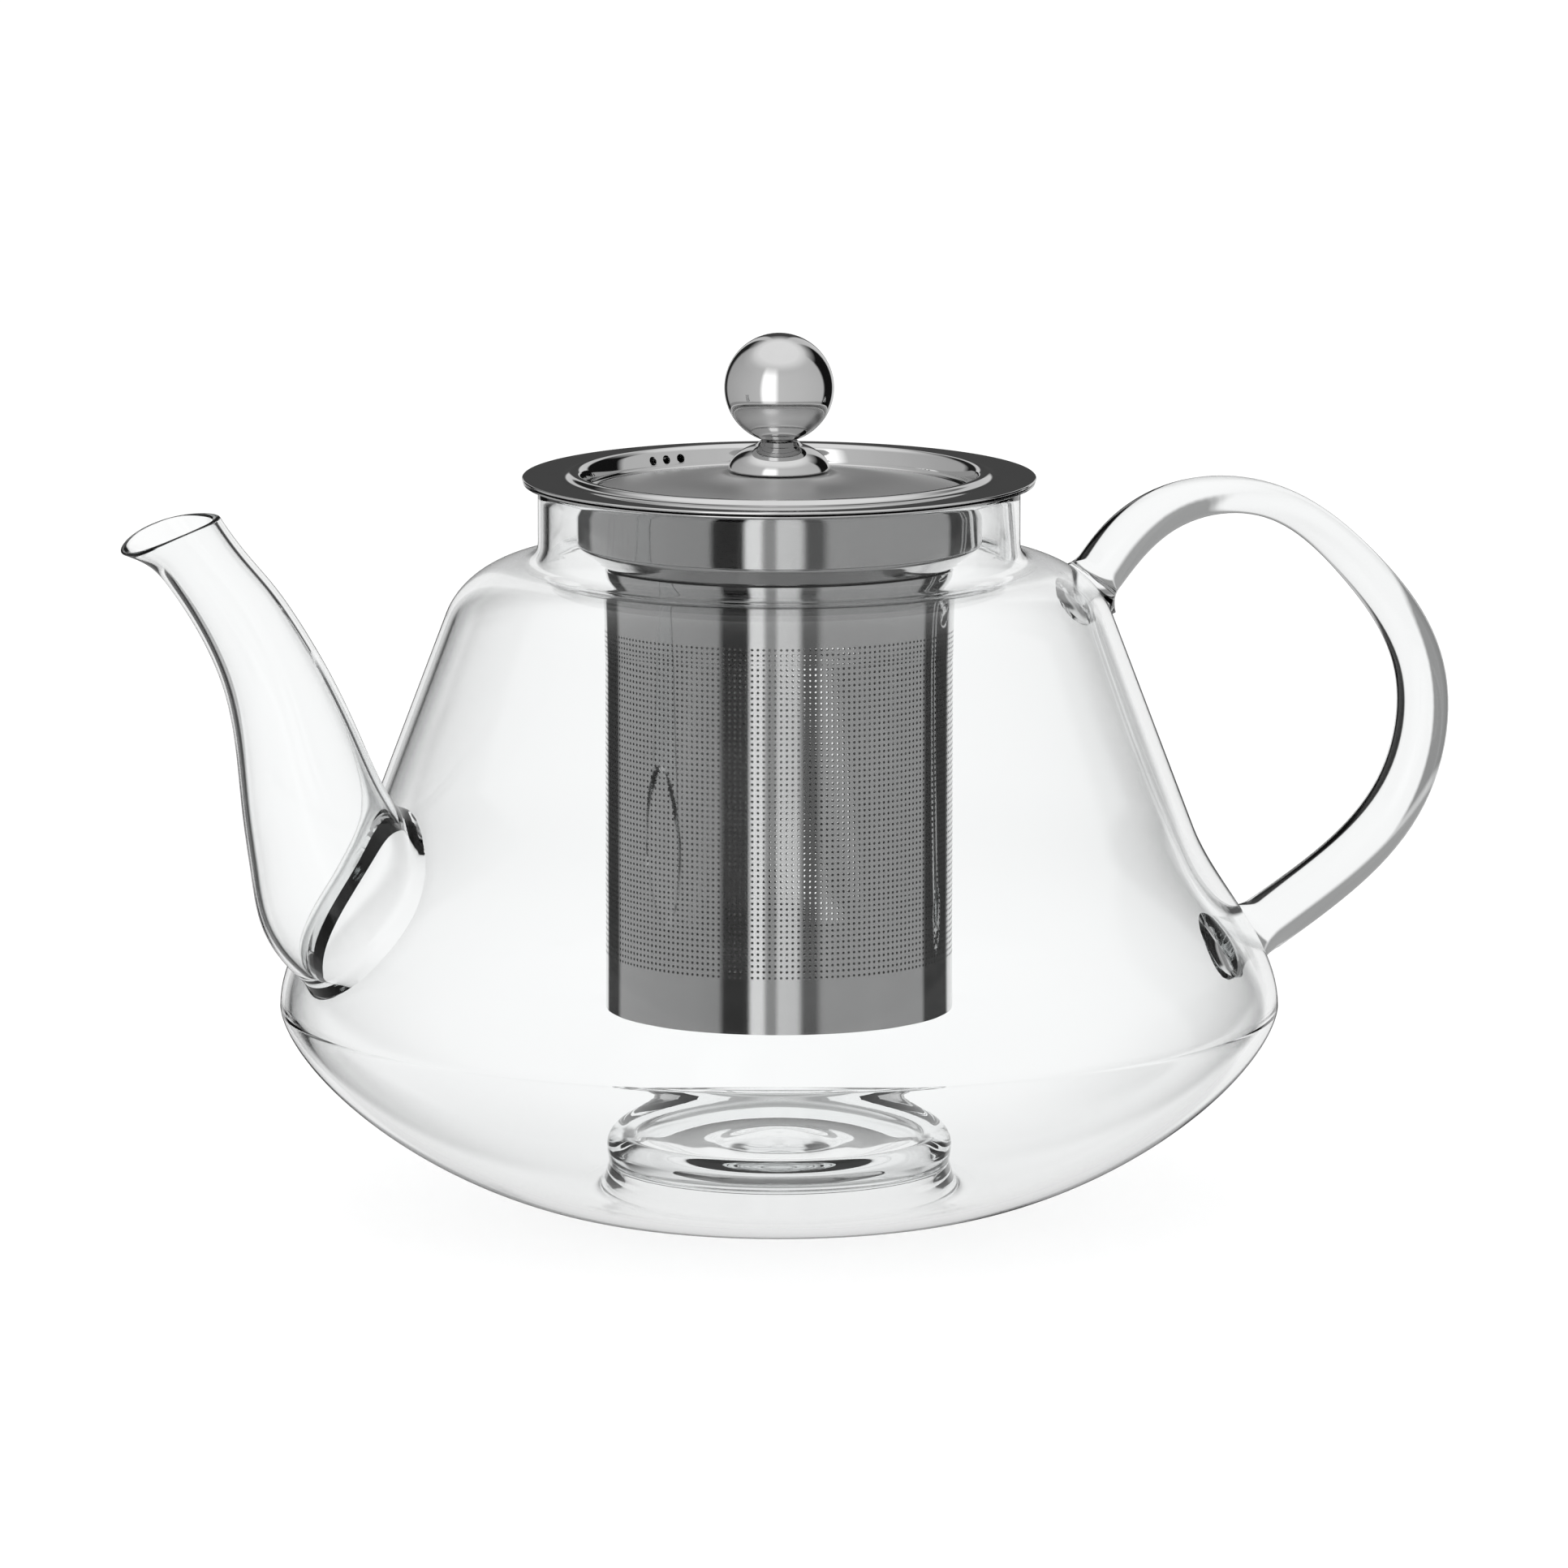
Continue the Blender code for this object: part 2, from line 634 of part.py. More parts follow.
def lid_top_outline():
    """The lid's upper face from the screw hole out to the flange's edge."""
    floor_r = LID_RECESS_R - 1.2 * MM
    fall = LID_SEAT_Z - LID_FLOOR_Z
    points = [(SCREW_BORE_R, LID_SEAT_Z), (LID_SEAT_R, LID_SEAT_Z)]
    points.append((LID_SEAT_R + 1.1 * MM, LID_SEAT_Z - fall * 0.10))
    points.append((between(LID_SEAT_R, floor_r, 0.4), LID_SEAT_Z - fall * 0.42))
    points.append((between(LID_SEAT_R, floor_r, 0.8), LID_SEAT_Z - fall * 0.83))
    points.append((floor_r, LID_FLOOR_Z))
    points.append((LID_RECESS_R - 0.1 * MM, LID_FLOOR_Z + 0.7 * MM))
    crest = LID_TOP_Z + LID_BEAD_RISE
    points += arc((LID_BEAD_R, crest - LID_BEAD_ROUND), LID_BEAD_ROUND, 165, 50, 4)
    points.append((LID_BEAD_R + 2.1 * MM, LID_TOP_Z + 0.05 * MM))
    points.append((LID_BEAD_R + 3.0 * MM, LID_TOP_Z))
    return points


def lid_outline():
    top = lid_top_outline()
    under = offset(top, -LID_SHEET)
    under[0] = (SCREW_BORE_R, LID_SEAT_Z - LID_SHEET)
    under[-1] = (top[-1][0], LID_Z)
    edge = [(LID_R - 0.25 * MM, LID_TOP_Z), (LID_R, LID_TOP_Z - 0.2 * MM)]
    edge += [(LID_R, LID_Z + 0.2 * MM), (LID_R - 0.25 * MM, LID_Z)]
    return top + edge + list(reversed(under))


def vent_cutter(angle, cutters):
    """A short drill through the recess wall, along the radius at an angle in degrees."""
    turn = math.radians(angle)
    reach = LID_RECESS_R
    height = between(LID_FLOOR_Z, LID_TOP_Z, 0.62)
    bpy.ops.mesh.primitive_cylinder_add(vertices=10, radius=VENT_D / 2, depth=4 * MM)
    drill = bpy.context.object
    drill.name = f"vent_drill_{angle:.0f}"
    drill.rotation_euler = (0.0, math.pi / 2, turn)
    drill.location = (reach * math.cos(turn), reach * math.sin(turn), height)
    for collection in list(drill.users_collection):
        collection.objects.unlink(drill)
    cutters.objects.link(drill)
    return drill


def knob_ball_outline():
    start = math.degrees(math.asin((KNOB_FLAT_Z - KNOB_CENTRE_Z) / KNOB_R))
    outline = arc((0.0, KNOB_CENTRE_Z), KNOB_R, 90, start, 14)
    outline[0] = (0.0, KNOB_CENTRE_Z + KNOB_R)
    thread = SCREW_D / 2 + GAP
    top = KNOB_FLAT_Z + SCREW_REACH + 1.0 * MM
    outline += [(thread, KNOB_FLAT_Z), (thread, top), (0.0, top + 1.0 * MM)]
    return outline


def knob_foot_outline():
    """A dome with a short neck that the ball stands on."""
    top = KNOB_FOOT_Z + KNOB_NECK_RISE
    outline = [(SCREW_BORE_R, top), (KNOB_NECK_R - 0.3 * MM, top)]
    outline.append((KNOB_NECK_R - 0.1 * MM, top - 0.3 * MM))
    for share in (0.90, 0.80, 0.66, 0.50, 0.33, 0.16):
        r = KNOB_FOOT_R * math.sqrt(1 - share**2)
        outline.append((r, KNOB_FOOT_Z + KNOB_FOOT_DOME * share))
    outline += [(KNOB_FOOT_R, KNOB_FOOT_Z + 0.2 * MM), (KNOB_FOOT_R - 0.2 * MM, KNOB_FOOT_Z)]
    outline.append((SCREW_BORE_R, KNOB_FOOT_Z))
    return outline


def screw_outline():
    shank = SCREW_D / 2
    head = SCREW_HEAD_D / 2
    top = KNOB_FLAT_Z + SCREW_REACH
    low = SCREW_HEAD_Z - SCREW_HEAD_H
    outline = [(0.0, top), (shank - 0.4 * MM, top), (shank, top - 0.4 * MM), (shank, SCREW_HEAD_Z)]
    outline += [(head, SCREW_HEAD_Z), (head, low + 1.2 * MM), (head * 0.7, low + 0.3 * MM), (0.0, low)]
    return outline


def washer_outline():
    low = WASHER_TOP_Z - WASHER_T
    outer = WASHER_D / 2
    return [(outer, WASHER_TOP_Z), (outer, low), (SCREW_BORE_R, low), (SCREW_BORE_R, WASHER_TOP_Z)]


def slot_cutter(cutters):
    """A straight screwdriver slot across the screw's head."""
    bpy.ops.mesh.primitive_cube_add(size=1.0)
    slot = bpy.context.object
    slot.name = "screw_slot"
    slot.scale = (SCREW_HEAD_D + 2 * MM, SCREW_SLOT_W, 2 * SCREW_SLOT_DEPTH)
    slot.location = (0.0, 0.0, SCREW_HEAD_Z - SCREW_HEAD_H)
    for collection in list(slot.users_collection):
        collection.objects.unlink(slot)
    cutters.objects.link(slot)
    return slot


def build_lid(steel, zinc, collection, cutters):
    pan = turned("lid_pan", lid_outline(), steel, collection)
    for angle in VENT_ANGLES:
        cut(pan, vent_cutter(angle, cutters))
    ball = turned("knob_ball", knob_ball_outline(), steel, collection, SMALL_STEPS)
    foot = turned("knob_foot", knob_foot_outline(), steel, collection, SMALL_STEPS)
    screw = turned("knob_screw", screw_outline(), zinc, collection, SMALL_STEPS)
    cut(screw, slot_cutter(cutters))
    washer = turned("knob_washer", washer_outline(), zinc, collection, SMALL_STEPS)
    return [pan, ball, foot, screw, washer]


# ----------------------------------------------------------------------------------------- main


def axis_x():
    """Where the body's axis stands so that spout and handle reach equally far from the origin."""
    spout = max(max(row[0], row[2]) for row in spout_rows())
    handle = max(row[0] + row[2] for row in handle_rows())
    return (spout - handle) / 2


def main():
    clear_scene()
    parts = make_collection("glass_teapot")
    cutters = make_collection("cutters")
    glass = make_material("clear_glass", (0.95, 0.97, 0.97), 0.02, 0.0, 1.0, 1.47)
    steel = make_material("polished_steel", (0.62, 0.62, 0.63), 0.08, 1.0)
    satin = make_material("basket_steel", (0.50, 0.50, 0.51), 0.22, 1.0)
    zinc = make_material("fastener_steel", (0.55, 0.55, 0.54), 0.30, 1.0)

    vessel = make_empty("vessel", parts, (axis_x(), 0.0, 0.0))
    infuser = make_empty("infuser", parts, (0.0, 0.0, FLANGE_Z), vessel)
    lid = make_empty("lid", parts, (0.0, 0.0, LID_Z - FLANGE_Z), infuser)
    hang(build_vessel(glass, parts, cutters), vessel)
    hang(build_infuser(satin, parts), infuser, FLANGE_Z)
    hang(build_lid(steel, zinc, parts, cutters), lid, LID_Z)
    hang(cutters.objects, vessel)
    for cutter in cutters.objects:
        cutter.hide_render = True
        cutter.display_type = "WIRE"


main()
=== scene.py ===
"""Looks for the glass teapot: clear fused glass, a perforated steel infuser and a polished lid."""

import math

import bmesh
import bpy
import numpy as np
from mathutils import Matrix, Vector


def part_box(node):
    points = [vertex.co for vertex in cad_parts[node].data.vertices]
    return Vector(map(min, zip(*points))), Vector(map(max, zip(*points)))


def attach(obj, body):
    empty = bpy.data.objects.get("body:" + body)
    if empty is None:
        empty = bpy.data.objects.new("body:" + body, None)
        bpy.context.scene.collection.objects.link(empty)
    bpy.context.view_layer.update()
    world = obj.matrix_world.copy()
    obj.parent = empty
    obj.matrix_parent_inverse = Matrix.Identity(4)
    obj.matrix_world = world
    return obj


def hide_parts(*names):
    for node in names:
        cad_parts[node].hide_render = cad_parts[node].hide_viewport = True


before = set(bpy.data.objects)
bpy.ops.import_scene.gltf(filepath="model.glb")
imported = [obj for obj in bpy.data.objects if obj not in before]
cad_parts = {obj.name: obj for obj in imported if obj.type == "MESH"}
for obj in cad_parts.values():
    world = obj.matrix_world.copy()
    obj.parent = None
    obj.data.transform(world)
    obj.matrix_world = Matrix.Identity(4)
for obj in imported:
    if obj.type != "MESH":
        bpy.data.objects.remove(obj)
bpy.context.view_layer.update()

MM = 0.001
GAP = 0.3 * MM

# Meshes
SMOOTH_ANGLE = 40.0
GLASS_SMOOTH_ANGLE = 30.0
FINE_STEPS = 256
CUP_STEPS = 192
ROUND_STEPS = 128
SCREW_STEPS = 64
SPOUT_STEPS = 96
HANDLE_STEPS = 48

# Places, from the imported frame
BODY_LOW, BODY_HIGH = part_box("glass_body")
AXIS_X = (BODY_LOW[0] + BODY_HIGH[0]) / 2
FLANGE_ROLL = 0.4 * MM
FLANGE_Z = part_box("infuser_collar")[1][2] - FLANGE_ROLL
LID_RECESS = 2.8 * MM
LID_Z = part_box("lid_pan")[0][2] + LID_RECESS

# Glass
GLASS_WALL = 2.0 * MM
BELLY_R = 91.8 * MM
BELLY_Z = 37.0 * MM
BOWL_POWER = 1.5
FOOT_OUTER_R = 36.5 * MM
FOOT_INNER_R = 32.4 * MM
CONE_BASE = (76.2 * MM, 69.5 * MM)
CONE_TOP = (61.1 * MM, 109.4 * MM)
SHOULDER_Z = 119.3 * MM
NECK_R = 44.2 * MM
NECK_TOP_Z = 133.4 * MM
PUNT_R = 31.9 * MM
PUNT_LIP_Z = 12.3 * MM
PUNT_WALL = 2.1 * MM
PUNT_DISH = 2.8 * MM
PUNT_NUB = 1.4 * MM
PUNT_ROUND_R = 3.0 * MM
CROTCH_Z = 80.0 * MM
SEAM_LOW_Z = 45.5 * MM

# The spout's sections. A share of the way from the crotch to the seam's low end says where the outer edge
# is measured from. Then come the outer edge's x and z from there, the inner edge's x and z from the crotch,
# and half the width, all in millimetres.
SPOUT_ROWS = (
    (1.00, -5.7, -5.0, -6.4, -8.0, 17.4),
    (1.00, 3.8, 2.0, 1.6, -3.0, 17.2),
    (0.70, 15.0, -0.4, 5.2, 1.5, 16.0),
    (0.45, 21.7, 0.5, 7.8, 6.5, 14.3),
    (0.20, 27.9, 3.9, 11.3, 14.4, 12.6),
    (0.00, 32.8, 9.5, 15.2, 22.5, 10.8),
    (0.00, 35.1, 20.5, 19.6, 30.3, 9.2),
    (0.00, 39.3, 30.3, 25.6, 39.3, 8.0),
    (0.00, 45.4, 40.0, 31.9, 46.8, 7.7),
    (0.00, 49.2, 44.3, 34.8, 50.6, 7.9),
    (0.00, 55.2, 47.3, 36.9, 53.7, 8.8),
)
SPOUT_WALL = 1.5 * MM
SEAM_REACH = 3.4 * MM
SEAM_FLARE = 1.2 * MM
UPPER_JOINT_Z = 110.6 * MM
LOWER_JOINT_Z = 43.2 * MM

# The handle's sections. A share of the way from the upper joint to the lower one says where each is
# measured from. Then come its reach outward, its rise and half its thickness, in millimetres.
HANDLE_ROWS = (
    (0.000, 3.2, 3.3, 4.8),
    (0.077, 5.9, 14.1, 4.6),
    (0.154, 11.5, 24.5, 4.1),
    (0.308, 28.1, 35.4, 3.3),
    (0.462, 41.4, 32.9, 3.8),
    (0.615, 49.2, 23.4, 4.5),
    (0.769, 41.0, 10.2, 4.9),
    (0.923, 17.2, 2.6, 5.1),
    (1.000, 6.2, 2.5, 5.3),
)
HANDLE_HALF_WIDTH = 6.0 * MM
HANDLE_END_WIDTH = 5.4 * MM
# slims the rod so that its smooth curve stays inside the CAD's box
HANDLE_SLIM = 0.985

# Steel
SHEET = 0.5 * MM
COLLAR_R = 37.2 * MM
FLANGE_R = 46.9 * MM
COLLAR_HEIGHT = 10.9 * MM
COLLAR_Z = FLANGE_Z - COLLAR_HEIGHT
STEP_HEIGHT = 4.5 * MM
STEP_Z = COLLAR_Z - STEP_HEIGHT
SKIRT_HEIGHT = 4.0 * MM
STEP_WIDTH = 5.35 * MM
BASKET_R = COLLAR_R - STEP_WIDTH
BASKET_HEIGHT = 81.3 * MM
BASKET_TOP_Z = STEP_Z - GAP
BASKET_LOW_Z = BASKET_TOP_Z - BASKET_HEIGHT
LID_R = FLANGE_R + 0.2 * MM
LID_TOP_Z = LID_Z + SHEET
LID_CLEARANCE = 0.4 * MM
RECESS_R = COLLAR_R - SHEET - LID_CLEARANCE - SHEET
SATIN_R = RECESS_R - 1.6 * MM
BEAD_R = RECESS_R + 1.9 * MM
LID_FLOOR_Z = LID_TOP_Z - LID_RECESS
SEAT_R = 9.9 * MM
SEAT_Z = LID_TOP_Z + 0.9 * MM
HOLE_PITCH = 1.053 * MM
HOLE_R = 0.26 * MM
HOLES_TOP_Z = 107.9 * MM
HOLE_ROWS = 59
HOLE_CORNERS = 8
VENT_ANGLES = (99.0, 104.0, 109.0)
VENT_R = 0.8 * MM
SHANK_R = 2.0 * MM
SHANK_BORE_R = SHANK_R + GAP
BALL_R = 10.05 * MM
BALL_FLAT_R = 3.4 * MM
BALL_FLAT_Z = SEAT_Z + 6.0 * MM
KNOB_FOOT_R = 9.3 * MM
KNOB_FOOT_HEIGHT = 5.4 * MM
WASHER_R = 5.5 * MM
WASHER_HEIGHT = 0.8 * MM
SCREW_HEAD_Z = SEAT_Z - SHEET - 1.4 * MM
SLOT_WIDTH = 1.0 * MM

# Studio
CAMERA_AZIMUTH = -21.5
CAMERA_DISTANCE = 2.8
CAMERA_HEIGHT = 0.531
AIM_HEIGHT = 0.087
LENS = 354.5
SHIFT_X = 0.003106
SHIFT_Y = -0.031573
FLOOR_REACH = 12
FLOOR_GREY = 0.32
FLOOR_GLOW = 0.68
SOFTBOX_SIZE = 2.4
SOFTBOX_HEIGHT = 2.2
SOFTBOX_POWER = 6.0

# ------------------------------------------------------------------------------------- outlines


def between(a, b, share):
    return a + (b - a) * share


def bezier(p0, p1, p2, p3, count):
    """Points after p0 on a cubic curve that ends on p3."""
    points = []
    for i in range(1, count + 1):
        t = i / count
        s = 1 - t
        weights = (s**3, 3 * s * s * t, 3 * s * t * t, t**3)
        points.append(tuple(sum(w * p[k] for w, p in zip(weights, (p0, p1, p2, p3))) for k in (0, 1)))
    return points


def arc(centre, radius, start, end, count):
    points = []
    for i in range(count + 1):
        angle = math.radians(start + (end - start) * i / count)
        points.append((centre[0] + radius * math.cos(angle), centre[1] + radius * math.sin(angle)))
    return points


def bends(rows, knots):
    """Second derivatives at the knots of a natural cubic curve through rows of numbers."""
    count = len(rows)
    system = np.eye(count)
    right = np.zeros((count, rows.shape[1]))
    for i in range(1, count - 1):
        before = knots[i] - knots[i - 1]
        after = knots[i + 1] - knots[i]
        system[i, i - 1 : i + 2] = (before, 2 * (before + after), after)
        right[i] = 6 * ((rows[i + 1] - rows[i]) / after - (rows[i] - rows[i - 1]) / before)
    return np.linalg.solve(system, right)


def spline(rows, fine):
    """Rows of numbers joined by a natural cubic curve, with fine steps from each row to the next.
    The curve's own length runs along the first two columns."""
    rows = np.array(rows)
    steps = np.hypot(np.diff(rows[:, 0]), np.diff(rows[:, 1]))
    knots = np.concatenate(([0.0], np.cumsum(steps)))
    second = bends(rows, knots)
    out = []
    for i, step in enumerate(steps):
        for k in range(fine):
            t = k / fine
            s = 1 - t
            bend = (s**3 - s) * second[i] + (t**3 - t) * second[i + 1]
            out.append(tuple(s * rows[i] + t * rows[i + 1] + bend * step**2 / 6))
    out.append(tuple(rows[-1]))
    return out


def offset(points, distance):
    """An open outline moved by distance to the left of the way it runs."""
    moved = []
    last = len(points) - 1
    for i, (x, z) in enumerate(points):
        before = points[max(i - 1, 0)]
        after = points[min(i + 1, last)]
        dx, dz = after[0] - before[0], after[1] - before[1]
        length = math.hypot(dx, dz)
        moved.append((x - dz / length * distance, z + dx / length * distance))
    return moved


def bowl_outline(count=48):
    """The bowl's outer side, a superellipse from the foot ring up to the belly."""
    points = [(FOOT_OUTER_R, 0.0)]
    for i in range(1, count):
        angle = math.pi / 2 * i / count
        out = math.sin(angle) ** (2 / BOWL_POWER)
        up = 1 - math.cos(angle) ** (2 / BOWL_POWER)
        points.append((between(FOOT_OUTER_R, BELLY_R, out), BELLY_Z * up))
    points.append((BELLY_R, BELLY_Z))
    return points


def flank_outline(count=24):
    """The outer side from the belly over into the straight cone and up to its top."""
    slope = (CONE_BASE[0] - CONE_TOP[0]) / (CONE_TOP[1] - CONE_BASE[1])
    pull = (CONE_BASE[1] - BELLY_Z) * 0.35
    start = (BELLY_R, BELLY_Z)
    low = (BELLY_R, BELLY_Z + pull)
    high = (CONE_BASE[0] + slope * pull, CONE_BASE[1] - pull)
    points = bezier(start, low, high, CONE_BASE, count)
    for k in range(1, 9):
        points.append(tuple(between(a, b, k / 8) for a, b in zip(CONE_BASE, CONE_TOP)))
    return points


def shoulder_outline(count=18):
    """The outer side from the cone's top over the shoulder and into the base of the neck."""
    slope = (CONE_BASE[0] - CONE_TOP[0]) / (CONE_TOP[1] - CONE_BASE[1])
    rise = SHOULDER_Z - CONE_TOP[1]
    inner = between(NECK_R, CONE_TOP[0], 0.215)
    end = (inner, SHOULDER_Z)
    first = (CONE_TOP[0] - slope * rise * 0.5, CONE_TOP[1] + rise * 0.5)
    second = (between(NECK_R, CONE_TOP[0], 0.58), SHOULDER_Z - rise * 0.09)
    points = bezier(CONE_TOP, first, second, end, count)
    base = (NECK_R, SHOULDER_Z + rise * 0.36)
    corner = (between(NECK_R, inner, 0.35), SHOULDER_Z + rise * 0.02)
    points += bezier(end, corner, (NECK_R, SHOULDER_Z + rise * 0.12), base, count // 2)
    return points


def outside_outline():
    points = bowl_outline() + flank_outline() + shoulder_outline()
    top = NECK_TOP_Z - GLASS_WALL / 2
    low = points[-1][1]
    for k in range(1, 7):
        points.append((NECK_R, between(low, top, k / 6)))
    return points


def body_radius(z):
    """The body's outer radius at a height between the belly and the neck."""
    points = [(BELLY_R, BELLY_Z)] + flank_outline(5) + shoulder_outline(5)
    for low, high in zip(points, points[1:]):
        if low[1] <= z <= high[1]:
            return between(low[0], high[0], (z - low[1]) / (high[1] - low[1]))
    return BELLY_R


def punt_top():
    """The plateau's upper side, from a nub on the axis over the dish and the rounded lip to the bowl."""
    dish = PUNT_LIP_Z - PUNT_DISH
    lip_r = PUNT_R - PUNT_ROUND_R
    nub = PUNT_LIP_Z - PUNT_NUB
    points = [(0.0, nub), (PUNT_R * 0.09, nub), (PUNT_R * 0.17, nub - 0.3 * MM)]
    points += [(PUNT_R * 0.30, dish + 0.3 * MM), (PUNT_R * 0.46, dish)]
    points += [(PUNT_R * 0.64, dish + 0.4 * MM), (PUNT_R * 0.78, PUNT_LIP_Z - 0.9 * MM)]
    points += arc((lip_r, PUNT_LIP_Z - PUNT_ROUND_R), PUNT_ROUND_R, 100, 0, 5)
    points += [(PUNT_R - 0.4 * MM, PUNT_LIP_Z * 0.45), (PUNT_R + 0.6 * MM, GLASS_WALL + 1.0 * MM)]
    return points


def punt_underside():
    """The plateau's lower side, from the foot ring up to the axis."""
    wall = PUNT_R - PUNT_WALL
    roof = PUNT_LIP_Z - PUNT_DISH - PUNT_WALL
    points = [(FOOT_INNER_R, 0.0), (FOOT_INNER_R - 1.5 * MM, 0.8 * MM), (wall, PUNT_LIP_Z * 0.25)]
    points.append((wall - 0.4 * MM, PUNT_LIP_Z - PUNT_WALL - 2.6 * MM))
    points.append((wall - 2.2 * MM, PUNT_LIP_Z - PUNT_WALL - 1.2 * MM))
    points.append((PUNT_R * 0.77, PUNT_LIP_Z - PUNT_WALL - 1.4 * MM))
    points += [(PUNT_R * 0.62, roof + 0.2 * MM), (PUNT_R * 0.36, roof), (0.0, roof + 0.9 * MM)]
    return points


def body_section():
    """The glass wall's whole section, from the axis on the punt out, over the rim and back."""
    outside = outside_outline()
    inside = [p for p in offset(outside, GLASS_WALL) if p[0] > PUNT_R + 3.2 * MM or p[1] > BELLY_Z]
    rim = arc((NECK_R - GLASS_WALL / 2, NECK_TOP_Z - GLASS_WALL / 2), GLASS_WALL / 2, 180, 0, 10)
    corner = [punt_top()[-2], punt_top()[-1], inside[0], inside[1]]
    join = spline(corner, 5)[5:11]
    top = spline(punt_top(), 5)[:-6]
    under = spline(punt_underside(), 5)
    under[-1] = (0.0, under[-1][1])
    return top + join + inside[1:-1] + rim + list(reversed(outside))[1:] + under[1:]


# ---------------------------------------------------------------------------------------- meshes


def add_mesh(name, verts, faces):
    """A closed smooth-shaded mesh, with its sharp edges kept sharp."""
    mesh = bpy.data.meshes.new(name)
    mesh.from_pydata([tuple(v) for v in verts], [], faces)
    work = bmesh.new()
    work.from_mesh(mesh)
    bmesh.ops.remove_doubles(work, verts=work.verts, dist=1e-7)
    bmesh.ops.recalc_face_normals(work, faces=work.faces)
    work.to_mesh(mesh)
    work.free()
    obj = bpy.data.objects.new(name, mesh)
    bpy.context.scene.collection.objects.link(obj)
    finish_shading(obj)
    return obj


def finish_shading(obj, smooth=SMOOTH_ANGLE):
    """Smooth shading, except over edges that turn by more than smooth degrees."""
    obj.data.polygons.foreach_set("use_smooth", [True] * len(obj.data.polygons))
    obj.data.set_sharp_from_angle(angle=math.radians(smooth))
    obj.data.update()


def turn(name, outline, steps):
    """A solid turned about the body's axis. Its outline closes unless it ends on the axis."""
    rings = []
    verts = []
    for r, z in outline:
        if r < 1e-6:
            rings.append([len(verts)] * steps)
            verts.append((AXIS_X, 0.0, z))
            continue
        rings.append(list(range(len(verts), len(verts) + steps)))
        for k in range(steps):
            angle = math.tau * k / steps
            verts.append((AXIS_X + r * math.cos(angle), r * math.sin(angle), z))
    if outline[0][0] > 1e-6:
        rings.append(rings[0])
    faces = []
    for low, high in zip(rings, rings[1:]):
        for k in range(steps):
            n = (k + 1) % steps
            face = [low[k], low[n], high[n], high[k]]
            face = [v for i, v in enumerate(face) if v not in face[:i]]
            if len(face) > 2:
                faces.append(face)
    return add_mesh(name, verts, faces)


def loft(name, rings):
    """A closed solid through rings with the same number of points."""
    count = len(rings[0])
    verts = [(p[0] + AXIS_X, p[1], p[2]) for ring in rings for p in ring]
    faces = []
    for i in range(len(rings) - 1):
        low, high = i * count, (i + 1) * count
        for k in range(count):
            n = (k + 1) % count
            faces.append((low + k, low + n, high + n, high + k))
    faces.append(tuple(reversed(range(count))))
    faces.append(tuple(range(len(verts) - count, len(verts))))
    return add_mesh(name, verts, faces)


def boolean(obj, cutter, operation):
    """Applies one exact Boolean and drops the cutter."""
    modifier = obj.modifiers.new("cut", "BOOLEAN")
    modifier.operation = operation
    modifier.solver = "EXACT"
    modifier.object = cutter
    graph = bpy.context.evaluated_depsgraph_get()
    mesh = bpy.data.meshes.new_from_object(obj.evaluated_get(graph))
    obj.modifiers.clear()
    old = obj.data
    obj.data = mesh
    bpy.data.meshes.remove(old)
    bpy.data.objects.remove(cutter)


# ---------------------------------------------------------------------------------------- vessel


def spout_rows(fine):
    """Outer edge, inner edge and half width of the spout along its whole length, in metres."""
    crotch_r = body_radius(CROTCH_Z)
    low_r = body_radius(SEAM_LOW_Z)
    rows = []
    for share, out_x, out_z, in_x, in_z, half in SPOUT_ROWS:
        x = between(crotch_r, low_r, share) + out_x * MM
        z = between(CROTCH_Z, SEAM_LOW_Z, share) + out_z * MM
        rows.append((x, z, crotch_r + in_x * MM, CROTCH_Z + in_z * MM, half * MM))
    return spline(rows, fine)


def seam_flare(x, y, z):
    """How far the fused seam swells the spout at a point near the body."""
    if not SEAM_LOW_Z - 12 * MM < z < CROTCH_Z + 14 * MM:
        return 0.0
    clear = (math.hypot(x, y) - body_radius(z)) * 0.9
    return SEAM_FLARE * max(0.0, 1 - max(clear, 0.0) / SEAM_REACH) ** 2


def spout_ring(row, grow, arch, steps):
    """An oval section of the spout, its sides raised by arch along the way out."""
    out_x, out_z, in_x, in_z, half = row
    reach = math.hypot(out_x - in_x, out_z - in_z)
    along = ((in_x - out_x) / reach, (out_z - in_z) / reach)
    centre = (-(out_x + in_x) / 2, (out_z + in_z) / 2)
    up = (-abs(along[1]), abs(along[0]))
    ring = []
    for k in range(steps):
        angle = math.tau * k / steps
        a = math.cos(angle) * (reach / 2 + grow)
        b = math.sin(angle) * (half + grow)
        if grow == 0.0:
            flare = seam_flare(centre[0] + along[0] * a, b, centre[1] + along[1] * a)
            a += flare * math.cos(angle)
            b += flare * math.sin(angle)
        lift = arch * math.sin(angle) ** 2
        x = centre[0] + along[0] * a + up[0] * lift
        ring.append((x, b, centre[1] + along[1] * a + up[1] * lift))
    return ring


